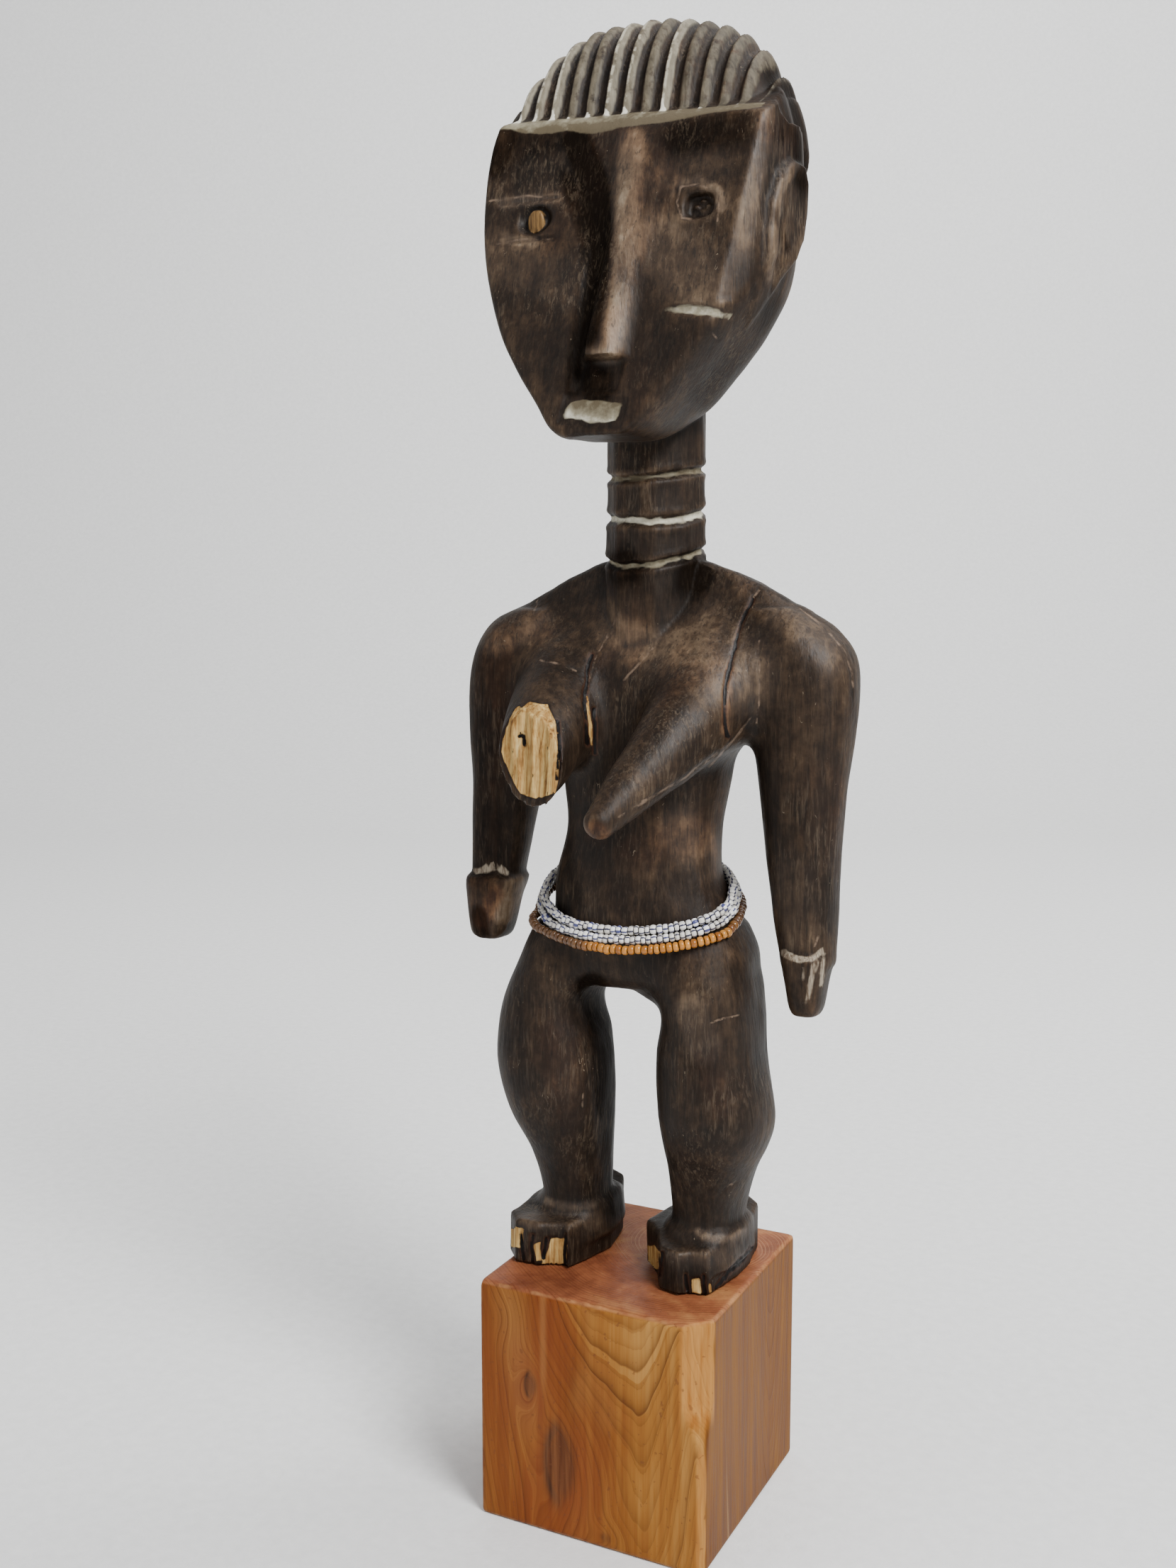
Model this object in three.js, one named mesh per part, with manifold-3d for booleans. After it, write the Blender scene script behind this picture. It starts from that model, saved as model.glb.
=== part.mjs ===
// A carved wooden figure standing on a wooden block, with strands of seed beads round its hips.
// Millimetres, +Z up. The figure faces -Y and its left side is +X.
// The origin is the centre of the block's underside.
import * as THREE from 'three';
import { mergeVertices } from 'three/addons/utils/BufferGeometryUtils.js';
import Module from 'manifold-3d';

const wasm = await Module();
wasm.setup();

const DEG = Math.PI / 180;
const BLOCK = { width: 60, depth: 61.6, height: 61, planedEdge: 6, planedFoot: 1.2, planedDepth: 32 };
const REST_GAP = 0.3;
const SOLE = BLOCK.height + REST_GAP;

// A three.js geometry as a body that can be joined and cut
function solid(geometry) {
  const plain = geometry.clone();
  plain.deleteAttribute('normal');
  plain.deleteAttribute('uv');
  const merged = mergeVertices(plain, 1e-4);
  return new wasm.Manifold(new wasm.Mesh({
    numProp: 3,
    vertProperties: new Float32Array(merged.attributes.position.array),
    triVerts: new Uint32Array(merged.index.array),
  }));
}

function geometryOf(body) {
  const mesh = body.getMesh();
  const geometry = new THREE.BufferGeometry();
  geometry.setAttribute('position', new THREE.BufferAttribute(new Float32Array(mesh.vertProperties), 3));
  geometry.setIndex(new THREE.BufferAttribute(new Uint32Array(mesh.triVerts), 1));
  geometry.computeVertexNormals();
  return geometry;
}

function joined(bodies) {
  return bodies.reduce((sum, body) => sum.add(body));
}

function without(body, cuts) {
  return cuts.reduce((rest, cut) => rest.subtract(cut), body);
}

function placed(geometry, position, turn = [0, 0, 0]) {
  const spin = new THREE.Matrix4().makeRotationFromEuler(new THREE.Euler(...turn));
  return geometry.applyMatrix4(spin).translate(...position);
}

function boxAt(size, position, turn) {
  return solid(placed(new THREE.BoxGeometry(...size), position, turn));
}

// A level oval section: its centre, half width, reach to the front and to the back,
// and how square its front and its back are
function section(z, x, y, half, front, back, square = 2.2, squareBack = square) {
  return { z, x, y, half, front, back, square, squareBack };
}

function ovalPoint(s, angle) {
  const c = Math.cos(angle);
  const d = Math.sin(angle);
  const reach = d < 0 ? s.front : s.back;
  const power = 2 / (d < 0 ? s.square : s.squareBack);
  return [
    s.x + s.half * Math.sign(c) * Math.abs(c) ** power,
    s.y + reach * Math.sign(d) * Math.abs(d) ** power,
    s.z,
  ];
}

// The section at a height, on a smooth curve through the given ones
function sectionAt(sections, z) {
  const last = sections.length - 1;
  const i = THREE.MathUtils.clamp(sections.findIndex((s) => s.z > z) - 1, 0, last - 1);
  const [a, b, c, d] = [i - 1, i, i + 1, i + 2].map((k) => sections[THREE.MathUtils.clamp(k, 0, last)]);
  const span = c.z - b.z;
  const t = (z - b.z) / span;
  const mixed = {};
  for (const key of Object.keys(b)) {
    const slopeIn = (c[key] - a[key]) / (c.z - a.z) * span;
    const slopeOut = (d[key] - b[key]) / (d.z - b.z) * span;
    mixed[key] = b[key] * (1 + t * t * (2 * t - 3)) + c[key] * t * t * (3 - 2 * t)
      + slopeIn * t * (t - 1) ** 2 + slopeOut * t * t * (t - 1);
  }
  return mixed;
}

// A closed body over rings of points that turn left as seen from the last ring; fans close its ends
function skin(rings) {
  const sides = rings[0].length;
  const middle = (ring) => [0, 1, 2].map((axis) => ring.reduce((sum, p) => sum + p[axis], 0) / sides);
  const lastRing = (rings.length - 1) * sides;
  const first = rings.length * sides;
  const last = first + 1;
  const faces = [];
  for (let k = 0; k < sides; k++) {
    const next = (k + 1) % sides;
    for (let ring = 0; ring < lastRing; ring += sides) {
      faces.push(ring + k, ring + next, ring + next + sides, ring + k, ring + next + sides, ring + k + sides);
    }
    faces.push(first, next, k, last, lastRing + k, lastRing + next);
  }
  const points = [...rings.flat(), middle(rings[0]), middle(rings[rings.length - 1])];
  return bare(points.flat(), faces);
}

function bare(coordinates, faces) {
  const geometry = new THREE.BufferGeometry();
  geometry.setAttribute('position', new THREE.Float32BufferAttribute(coordinates, 3));
  geometry.setIndex(faces);
  return geometry;
}

// A closed body through level sections, from the lowest to the highest
function loft(sections, sides, steps = 1) {
  const angles = Array.from({ length: sides }, (_, k) => 2 * Math.PI * k / sides);
  const heights = sections.slice(1).flatMap((s, i) => Array.from(
    { length: steps }, (_, k) => sections[i].z + (s.z - sections[i].z) * k / steps));
  heights.push(sections[sections.length - 1].z);
  return skin(heights.map((z) => {
    const s = z === heights[heights.length - 1] ? sections[sections.length - 1] : sectionAt(sections, z);
    return angles.map((angle) => ovalPoint(s, angle));
  }));
}

// A flat outline given thickness upwards, with bevelled rims
function slab(outline, height, bevel) {
  return new THREE.ExtrudeGeometry(outline, {
    depth: height - 2 * bevel,
    bevelThickness: bevel,
    bevelSize: bevel,
    bevelOffset: -bevel,
    bevelSegments: 1,
    curveSegments: 5,
  }).translate(0, 0, bevel);
}

// An outline drawn from the side, as (y, z), given thickness along x
function sideSlab(outline, thickness, bevel, middleX) {
  const upright = new THREE.Matrix4().makeBasis(
    new THREE.Vector3(0, 1, 0), new THREE.Vector3(0, 0, 1), new THREE.Vector3(1, 0, 0));
  return slab(outline, thickness, bevel).applyMatrix4(upright).translate(middleX - thickness / 2, 0, 0);
}

// Head: a shield of a face that leans back, a flat temple, a round back
const HEAD_X = 0.7;
const FACE = { lean: 15.5 * DEG, y: -19.6, z: 305 };
const EYE = { out: 20.5, z: 313.5 };
const HAIR = {
  half: 36.4, y: 0, z: 324, front: -8.5, back: 29, top: 361, ledge: 338, nape: 309,
  ridges: 14, pitch: 4.9, groove: 1.5, square: 2.5, tilt: 0.07,
};

function faceY(z) {
  return FACE.y + (z - FACE.z) * Math.tan(FACE.lean);
}

function skull() {
  return solid(loft([
    section(263.8, HEAD_X, -18, 9.6, 14, 8, 3),
    section(267, HEAD_X, -15, 13.4, 17, 14, 3.2),
    section(272, HEAD_X, -10, 17.8, 21, 19, 3.4, 2.6),
    section(279, HEAD_X, -6, 23.2, 24, 19, 3.6, 2.5),
    section(288, HEAD_X, -3, 29.4, 25, 20, 3.8, 2.4),
    section(299, HEAD_X, 0, 34.2, 25, 23, 4, 2.3),
    section(312, HEAD_X, 1, 36.6, 25, 26, 4.4, 2.2),
    section(325, HEAD_X, 1, 37.2, 24, 25, 4.6, 2.2),
    section(334, HEAD_X, 0, 36.6, 22, 22, 4.4, 2.2),
    section(341, HEAD_X, 0, 35.8, 18, 17, 4, 2.2),
  ], 24));
}

// The flat planes of the face: its front, the bevel at the left temple and the ledge below the hair
function facePlanes() {
  const thick = 40;
  const front = boxAt([120, thick, 130],
    [HEAD_X, FACE.y - thick / 2 / Math.cos(FACE.lean), FACE.z], [-FACE.lean, 0, 0]);
  const temple = boxAt([30, 60, 100], [HEAD_X + 46.8, -28, 318], [-0.7 * FACE.lean, 3 * DEG, -36 * DEG]);
  const ledge = boxAt([120, 120, thick],
    [HEAD_X, 0, HAIR.ledge + 0.4 + thick / 2], [0, Math.atan(HAIR.tilt), 0]);
  return [front, temple, ledge];
}

// A straight nose that stands out more towards its blunt tip
function nose() {
  const outline = new THREE.Shape([
    [-4, 338], [faceY(336) - 0.6, 336], [faceY(305) - 2.6, 305],
    [faceY(283) - 4, 283], [faceY(280) - 1.5, 280], [-8, 280],
  ].map(([y, z]) => new THREE.Vector2(y, z)));
  return solid(sideSlab(outline, 13, 3, HEAD_X + 0.5));
}

// One front-to-back outline of the hair, lifted off the dome by the height of a ridge
function hairOutline(x, lift) {
  const round = Math.max(0.02, 1 - Math.abs(x / (HAIR.half + lift)) ** HAIR.square) ** (1 / HAIR.square);
  const front = HAIR.front + 5 * (1 - round) - lift * 0.5;
  const back = HAIR.y + (HAIR.back - HAIR.y) * round ** 0.8 + lift;
  const high = HAIR.z + (HAIR.top - HAIR.z) * round + lift;
  const rise = Math.max(high - HAIR.ledge, 1.5);
  const line = new THREE.Path();
  line.moveTo(HAIR.y, HAIR.ledge - 4);
  line.lineTo(back - 6, HAIR.nape);
  line.lineTo(back - 2.5, HAIR.nape);
  const crown = [HAIR.y + (back - HAIR.y) * 0.3, HAIR.ledge + rise - 0.4];
  line.bezierCurveTo(back + 1, HAIR.z + 4, back - 4, HAIR.ledge + rise - 5, ...crown);
  line.quadraticCurveTo(HAIR.y - 3, HAIR.ledge + rise + 0.8, front + 3.5, HAIR.ledge + rise * 0.72);
  line.quadraticCurveTo(front + 0.4, HAIR.ledge + rise * 0.4, front, HAIR.ledge);
  return line.getPoints(3).map((point) => [HEAD_X + x, point.x, point.y - HAIR.tilt * x]);
}

// The hair: ridges that run from the forehead over the crown
function hair() {
  const first = -HAIR.ridges * HAIR.pitch / 2;
  const rings = [];
  for (let i = 0; i < HAIR.ridges; i++) {
    const x = first + i * HAIR.pitch;
    rings.push(hairOutline(x, -HAIR.groove));
    rings.push(hairOutline(x + 0.45 * HAIR.pitch, 0));
  }
  rings.push(hairOutline(-first, -HAIR.groove));
  return solid(skin(rings));
}

// Ears: half-moon slabs that stand off the side planes
function ears() {
  const outline = new THREE.Shape();
  outline.moveTo(-6, 324);
  outline.bezierCurveTo(8, 331, 9, 312, -2, 299);
  outline.lineTo(-9, 300);
  outline.closePath();
  return joined([-1, 1].map((side) => solid(sideSlab(outline, 8, 1.4, HEAD_X + side * 34.2))));
}

// Eye sockets, the plane under the nose and a mouth cut as a flat oblong
function faceCuts() {
  const cut = (x, z, wide, tall, deep) => boxAt(
    [wide, 2 * deep, tall], [HEAD_X + x, faceY(z), z], [-FACE.lean, 0, 0]);
  return [
    cut(-EYE.out, EYE.z, 8.5, 7.5, 2.4), cut(EYE.out, EYE.z, 7.5, 7, 3),
    cut(0.2, 276, 12.5, 7, 2), cut(-0.2, 268.8, 13.2, 5.2, 1.4),
  ];
}

// Right eye: a round peg left standing in its socket
function eyePeg() {
  const peg = new THREE.CylinderGeometry(2.4, 2.6, 5, 10);
  return solid(placed(peg, [HEAD_X - EYE.out, faceY(EYE.z) + 2, EYE.z], [-FACE.lean, 0, 0]));
}

// Neck: a round column with three V grooves that tilt down to the front
const NECK = { x: 1, y: 4, radius: 11.9, low: 212, high: 285, grooveWidth: 3.4, grooveDepth: 1.6, sides: 18 };
const NECK_RINGS = [
  { z: 257.7, tilt: 11 * DEG },
  { z: 247.6, tilt: 11 * DEG },
  { z: 238.4, tilt: 16 * DEG },
];

function neck() {
  const height = NECK.high - NECK.low;
  const column = new THREE.CylinderGeometry(NECK.radius, NECK.radius + 0.4, height, NECK.sides);
  column.rotateX(Math.PI / 2).translate(NECK.x, NECK.y, NECK.low + height / 2);
  const profile = [[2, -1], [2, 1], [-NECK.grooveDepth, 0], [2, -1]].map(
    ([out, side]) => new THREE.Vector2(NECK.radius + out, side * NECK.grooveWidth / 2));
  return without(solid(column), NECK_RINGS.map(({ z, tilt }) => {
    const ring = new THREE.LatheGeometry(profile, NECK.sides).rotateX(Math.PI / 2);
    return solid(placed(ring, [NECK.x, NECK.y, z], [tilt, 0, 0]));
  }));
}

// Torso from the hips to the shoulders
const TORSO = [
  section(134.5, 0, -3, 24, 12, 16, 2.5),
  section(137, 0, -3, 27.4, 14.5, 18.5, 2.5),
  section(142, 0.3, -2, 28.6, 16.5, 19.5, 2.4),
  section(150, 0.7, -2, 24.4, 16.5, 17, 2.3),
  section(160, 0.9, -2, 21, 15.5, 13.5, 2.3),
  section(172, 1, -1, 20.2, 15, 12.5, 2.3),
  section(184, 1, 0, 22, 15, 13, 2.3),
  section(192, 1.2, 1, 24.4, 15.5, 14, 2.4),
  section(200, 1.5, 2.5, 34.5, 16, 15, 2.7),
  section(210, 1.5, 3.5, 45.5, 15.5, 14.5, 2.9),
  section(218, 1.5, 4, 44, 14, 13, 2.7),
  section(224, 1.5, 4, 38.5, 12.5, 12, 2.4),
  section(230, 1.5, 4, 28.5, 11.5, 11, 2.2),
  section(236, 1.5, 4, 14, 9, 9, 2),
];

// Arms hang free from the armpits; each hand is a stub with a step at the wrist
function arm(side) {
  const left = side > 0;
  const wrist = left ? 142 : 154;
  const thick = left ? 1.08 : 0.96;
  const stub = left ? 6.4 : 7.3;
  const turn = left ? 1.5 : 0;
  const x = (out) => 1.4 + side * out;
  const upper = loft([
    section(wrist, x(41.2 + turn), -3, (6.6 - turn / 2) * thick, 6.4, 6.2, 2.3),
    section(wrist + 12, x(40.4 + turn * 0.7), -2, (7.7 - turn / 2) * thick, 7.6, 7.4, 2.3),
    section(180, x(39.8), 0, 9 * thick, 9.5, 9, 2.3),
    section(196, x(39.4), 2, 10.8 * thick, 11.5, 11, 2.3),
    section(208, x(38.8), 3.5, 11.6 * thick, 13, 12.5, 2.3),
    section(216, x(36.5), 4, 11.4 * thick, 12, 11.5, 2.2),
    section(221.5, x(32), 4, 10, 9, 9, 2.1),
  ], 14);
  const hand = loft([
    section(wrist - (left ? 11 : 13), x(40.4 + turn), -4.5, 3, 4.5, 4, 2.6),
    section(wrist - 8, x(40.8 + turn), -4.5, stub - 1.6, 6.3, 5.5, 2.6),
    section(wrist + 2.5, x(40.8 + turn), -3, stub, 8.2, 7.4, 2.5),
    section(wrist + 3.5, x(40.8 + turn), -3, stub - 0.8, 7, 6.6, 2.4),
  ], 12);
  return solid(upper).add(solid(hand));
}

// A long breast from its base to its tip, as a cone with a rounded end
function breast(base, tip, baseHalf, tipHalf) {
  const from = new THREE.Vector3(...base);
  const along = new THREE.Vector3(...tip).sub(from);
  const length = along.length();
  const ring = (share, half, tall) => section(length * share, 0, 0, half, half * tall, half * tall, 2);
  const cone = loft([
    ring(0, baseHalf, 1.3), ring(0.3, baseHalf * 0.86, 1.2), ring(0.8, tipHalf * 1.2, 1),
    ring(0.96, tipHalf * 0.85, 1), ring(1, tipHalf * 0.4, 1),
  ], 14);
  const spin = new THREE.Quaternion().setFromUnitVectors(new THREE.Vector3(0, 0, 1), along.normalize());
  return solid(cone.applyQuaternion(spin).translate(...base));
}

// The right breast is broken off to a stump
function breasts() {
  const left = breast([18, -2, 203], [10.5, -47, 177], 13, 4.6);
  const right = breast([-18.5, -2, 205], [-12, -47, 179], 13, 4.6);
  const lostPart = boxAt([60, 40, 60], [-16, -50, 192], [-6 * DEG, 0, -10 * DEG]);
  return left.add(right.subtract(lostPart));
}

// Legs: short and bowed, each thickest at its own height below the hip
const RIGHT_LEG = [
  section(SOLE + 7, -18, -0.5, 9, 10, 9.5, 2.3),
  section(79, -18, -0.5, 9.4, 10.5, 10, 2.3),
  section(88, -19, -1.5, 11, 12, 12, 2.3),
  section(98, -20.6, -3.5, 13.2, 14, 15, 2.3),
  section(110, -22, -5, 14.4, 14.5, 15.5, 2.3),
  section(119, -22.4, -5, 14, 14.5, 17, 2.3),
  section(128, -22, -4.5, 12.4, 14.5, 18, 2.4),
  section(138, -17.2, -3.4, 12.8, 15.2, 17.4, 2.4),
  section(147, -15.4, -2.6, 10.8, 13.2, 15, 2.4),
];
const LEFT_LEG = [
  section(SOLE + 7, 18.8, -0.5, 9, 10, 9.5, 2.3),
  section(79, 18.8, -0.5, 9.4, 10.5, 10, 2.3),
  section(88, 19.8, -1.5, 11, 12, 12, 2.3),
  section(98, 21.8, -4, 13.6, 14, 15, 2.3),
  section(105, 22, -5, 13.8, 14.5, 15.5, 2.3),
  section(119, 20.4, -5, 12.4, 14.5, 17, 2.3),
  section(128, 20.2, -4.5, 11.4, 14.5, 18, 2.4),
  section(138, 17.2, -3.4, 12.8, 15.2, 17.4, 2.4),
  section(147, 15.8, -2.6, 10.8, 13.2, 15, 2.4),
];

// Feet: flat slabs, the toes broken off square, with a collar round the ankle
const RIGHT_FOOT = [
  [-30.3, -12], [-25.5, -17], [-21, -17.6], [-15, -15], [-13, -16], [-10.5, -7], [-9, 0],
  [-11, 12], [-14.5, 20], [-20, 23], [-26, 21], [-30, 12], [-31, 0],
];
const LEFT_FOOT = [
  [2.6, -3.4], [8.2, -9], [12, -16.5], [17.5, -18], [20, -15.8], [24, -14.8], [26.6, -2.3],
  [26.8, 7], [24.6, 17], [20, 21], [13, 21.5], [8.5, 17], [4.5, 6],
];

function foot(points, ankleX, ankleY) {
  const outline = new THREE.Shape(points.map(([x, y]) => new THREE.Vector2(x, y)));
  const sole = solid(slab(outline, 11.5, 1.2).translate(0, 0, SOLE));
  const collar = loft([
    section(SOLE + 6, ankleX, ankleY, 10.4, 14, 14, 2.4),
    section(SOLE + 13.5, ankleX, ankleY, 9.6, 11, 12, 2.4),
  ], 12);
  return sole.add(solid(collar));
}

function carving() {
  const head = without(without(skull(), facePlanes()).add(nose()), faceCuts());
  return joined([
    head, hair(), ears(), eyePeg(), neck(), solid(loft(TORSO, 22)), arm(-1), arm(1), breasts(),
    solid(loft(RIGHT_LEG, 16)), solid(loft(LEFT_LEG, 16)),
    foot(RIGHT_FOOT, -18.5, 1), foot(LEFT_FOOT, 18.5, -1),
  ]);
}

// Strands of seed beads: loops that hang loose at the waist and lie on the hips in front.
// Each lies out from and below the first one by a little, more closely at the sides and behind.
const STRAND = { x: 0.4, y: -1.2, half: 22.6, front: 18.6, back: 15.5, middle: 157.8, fall: 0.44, gap: 0.4 };
const LAY = {
  upper: { front: [0, 0], side: [0, 0] },
  lower: { front: [0.7, 2.2], side: [1.3, 2] },
  ochre: { front: [0.9, 4.4], side: [0.4, 4] },
};

function layAt({ front, side }, angle) {
  const turned = THREE.MathUtils.smoothstep(1 + Math.min(0, Math.sin(angle)), 0.1, 0.9);
  return {
    out: THREE.MathUtils.lerp(front[0], side[0], turned),
    drop: THREE.MathUtils.lerp(front[1], side[1], turned),
  };
}

// How far the torso reaches from the middle of the loops, level at a height and along a direction
function torsoReach(z, direction) {
  const body = sectionAt(TORSO, z);
  const samples = 180;
  const near = 0.998;
  let reach = 0;
  for (let k = 0; k < samples; k++) {
    const [x, y] = ovalPoint(body, 2 * Math.PI * k / samples);
    const away = Math.atan2(y - STRAND.y, x - STRAND.x) - direction;
    if (Math.cos(away) > near) reach = Math.max(reach, Math.hypot(x - STRAND.x, y - STRAND.y));
  }
  return reach;
}

// A point of a loop, pushed out where the body is wider
function strandPoint(angle, lay, radius) {
  const { out, drop } = layAt(lay, angle);
  const loop = section(0, STRAND.x, STRAND.y, STRAND.half, STRAND.front, STRAND.back, 2.1);
  const [x, y] = ovalPoint(loop, angle);
  const direction = Math.atan2(y - STRAND.y, x - STRAND.x);
  const clear = (z) => torsoReach(z - radius, direction) + radius + STRAND.gap;
  const z = STRAND.middle + STRAND.fall * y;
  const first = Math.max(Math.hypot(x - STRAND.x, y - STRAND.y), clear(z));
  const reach = Math.max(first + out, clear(z - drop));
  return new THREE.Vector3(
    STRAND.x + reach * Math.cos(direction), STRAND.y + reach * Math.sin(direction), z - drop);
}

// Beads threaded on the loop: the skin swells at each bead and narrows between two
function strand(lay, { bead, radius, waist, sides }) {
  const turns = Array.from({ length: 72 }, (_, k) => 2 * Math.PI * k / 72);
  const points = turns.map((angle) => strandPoint(angle, lay, radius));
  const curve = new THREE.CatmullRomCurve3(points, true);
  const beads = Math.round(curve.getLength() / bead);
  const stations = curve.getSpacedPoints(2 * beads);
  const coordinates = [];
  const faces = [];
  for (let i = 0; i < 2 * beads; i++) {
    const ahead = stations[(i + 1) % (2 * beads)].clone().sub(stations[(i + 2 * beads - 1) % (2 * beads)]);
    const outward = new THREE.Vector3(ahead.y, -ahead.x, 0).normalize();
    const upward = new THREE.Vector3().crossVectors(outward, ahead).normalize().negate();
    const size = i % 2 ? radius : waist;
    for (let k = 0; k < sides; k++) {
      const angle = 2 * Math.PI * (k + 0.5) / sides;
      const point = stations[i].clone()
        .addScaledVector(outward, size * Math.cos(angle)).addScaledVector(upward, size * Math.sin(angle));
      coordinates.push(point.x, point.y, point.z);
      const a = i * sides + k;
      const b = i * sides + (k + 1) % sides;
      const c = (b + sides) % (2 * beads * sides);
      const d = (a + sides) % (2 * beads * sides);
      faces.push(a, b, c, a, c, d);
    }
  }
  return bare(coordinates, faces);
}

// The block, with one upright edge planed off towards the top
function block() {
  const { width, depth, height, planedEdge, planedFoot, planedDepth } = BLOCK;
  const body = solid(new THREE.BoxGeometry(width, depth, height).translate(0, 0, height / 2));
  const over = 1;
  const triangle = (z, leg) => [
    [width / 2 + over, -depth / 2 - over, z],
    [width / 2 + over, -depth / 2 + leg + over, z],
    [width / 2 - leg - over, -depth / 2 - over, z],
  ];
  return body.subtract(solid(skin([
    triangle(-over, planedFoot), triangle(height - planedDepth, planedFoot),
    triangle(height - planedDepth / 2, planedEdge), triangle(height + over, planedEdge),
  ])));
}

const group = new THREE.Group();
function add(name, geometry, color, roughness) {
  const mesh = new THREE.Mesh(geometry, new THREE.MeshStandardMaterial({ color, roughness, metalness: 0 }));
  mesh.name = name;
  group.add(mesh);
}

add('figure', geometryOf(carving()), 0x2b211c, 0.55);
add('plinth_block', geometryOf(block()), 0x9a5a3a, 0.5);
const seed = { bead: 1.65, radius: 1.15, waist: 0.8, sides: 4 };
add('beads_white_upper', strand(LAY.upper, seed), 0xe8e8ea, 0.3);
add('beads_white_lower', strand(LAY.lower, seed), 0xe8e8ea, 0.3);
add('beads_ochre', strand(LAY.ochre, { ...seed, bead: 1.75 }), 0xc27a22, 0.3);

export default group;
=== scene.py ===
import math

import bpy
import numpy as np
from mathutils import Matrix, Vector
from mathutils.bvhtree import BVHTree


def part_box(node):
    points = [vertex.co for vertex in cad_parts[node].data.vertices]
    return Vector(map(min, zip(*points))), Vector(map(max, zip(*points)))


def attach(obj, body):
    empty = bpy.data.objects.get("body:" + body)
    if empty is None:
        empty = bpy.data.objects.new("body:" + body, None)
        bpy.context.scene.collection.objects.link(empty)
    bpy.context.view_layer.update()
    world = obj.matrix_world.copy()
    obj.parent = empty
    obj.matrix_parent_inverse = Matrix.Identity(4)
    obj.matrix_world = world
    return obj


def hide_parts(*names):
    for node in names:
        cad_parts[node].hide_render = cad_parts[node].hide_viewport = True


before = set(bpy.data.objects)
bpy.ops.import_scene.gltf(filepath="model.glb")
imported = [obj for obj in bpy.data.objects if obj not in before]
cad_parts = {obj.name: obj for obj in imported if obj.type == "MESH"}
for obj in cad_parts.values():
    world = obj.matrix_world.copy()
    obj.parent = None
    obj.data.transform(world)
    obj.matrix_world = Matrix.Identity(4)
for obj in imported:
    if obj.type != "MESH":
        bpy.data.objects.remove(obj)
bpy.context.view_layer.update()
MM = 0.001
STEP = 0.55
BLOCK_STEP = 0.5
FIGURE_TRIANGLES = 195000

# The photograph's camera, from the block's straight edges
PHOTO = {"width": 1659, "height": 2212, "focal": 2209.88}
CAMERA = {"azimuth": 26.831, "elevation": 6.824, "roll": -0.044, "place": (160.26, -347.29, 227.88)}


def camera_axes():
    a, e, r = (math.radians(CAMERA[k]) for k in ("azimuth", "elevation", "roll"))
    back = np.array([math.sin(a) * math.cos(e), -math.cos(a) * math.cos(e), math.sin(e)])
    right = np.array([math.cos(a), math.sin(a), 0.0])
    up = np.cross(back, right)
    c, s = math.cos(r), math.sin(r)
    return np.stack([c * right + s * up, c * up - s * right, back])


AXES = camera_axes()
EYE_POINT = np.array(CAMERA["place"])


def photo_ray(u, v):
    right = (u - PHOTO["width"] / 2) / PHOTO["focal"]
    up = (PHOTO["height"] / 2 - v) / PHOTO["focal"]
    aim = np.array([right, up, -1.0]) @ AXES
    return aim / np.linalg.norm(aim)


def photo_place(points):
    q = (points - EYE_POINT) @ AXES.T
    u = PHOTO["width"] / 2 + PHOTO["focal"] * q[:, 0] / -q[:, 2]
    v = PHOTO["height"] / 2 - PHOTO["focal"] * q[:, 1] / -q[:, 2]
    return np.stack([u, v], 1)


def add_camera():
    data = bpy.data.cameras.new("camera")
    data.sensor_fit = "VERTICAL"
    data.sensor_height = 36
    data.lens = PHOTO["focal"] * 36 / PHOTO["height"]
    data.clip_start = 0.01
    data.clip_end = 20
    camera = bpy.data.objects.new("camera", data)
    bpy.context.scene.collection.objects.link(camera)
    turn = Matrix([list(column) for column in AXES.T]).to_4x4()
    camera.matrix_world = Matrix.Translation(Vector(EYE_POINT * MM)) @ turn
    bpy.context.scene.camera = camera


# Fields: every shape is a distance in mm, negative inside

def smooth_step(value, low, high):
    t = np.clip((value - low) / (high - low), 0, 1)
    return t * t * (3 - 2 * t)


def blend_min(a, b, k):
    h = np.clip(0.5 + 0.5 * (b - a) / k, 0, 1)
    return b + (a - b) * h - k * h * (1 - h)


def blend_max(a, b, k):
    return -blend_min(-a, -b, k)


def curve(rows, z):
    """Values of the rows' columns at the heights z, on a smooth curve; a row starts with its height."""
    rows = np.array(rows, float)
    heights = rows[:, 0]
    z = np.clip(z, heights[0], heights[-1])
    i = np.clip(np.searchsorted(heights, z, side="right") - 1, 0, len(rows) - 2)
    before = np.maximum(i - 1, 0)
    after = np.minimum(i + 2, len(rows) - 1)
    span = heights[i + 1] - heights[i]
    t = (z - heights[i]) / span
    out = []
    for c in range(1, rows.shape[1]):
        v = rows[:, c]
        slope_in = (v[i + 1] - v[before]) / (heights[i + 1] - heights[before]) * span
        slope_out = (v[after] - v[i]) / (heights[after] - heights[i]) * span
        out.append(v[i] * (1 + t * t * (2 * t - 3)) + v[i + 1] * t * t * (3 - 2 * t)
                   + slope_in * t * (t - 1) ** 2 + slope_out * t * t * (t - 1))
    return out


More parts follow.
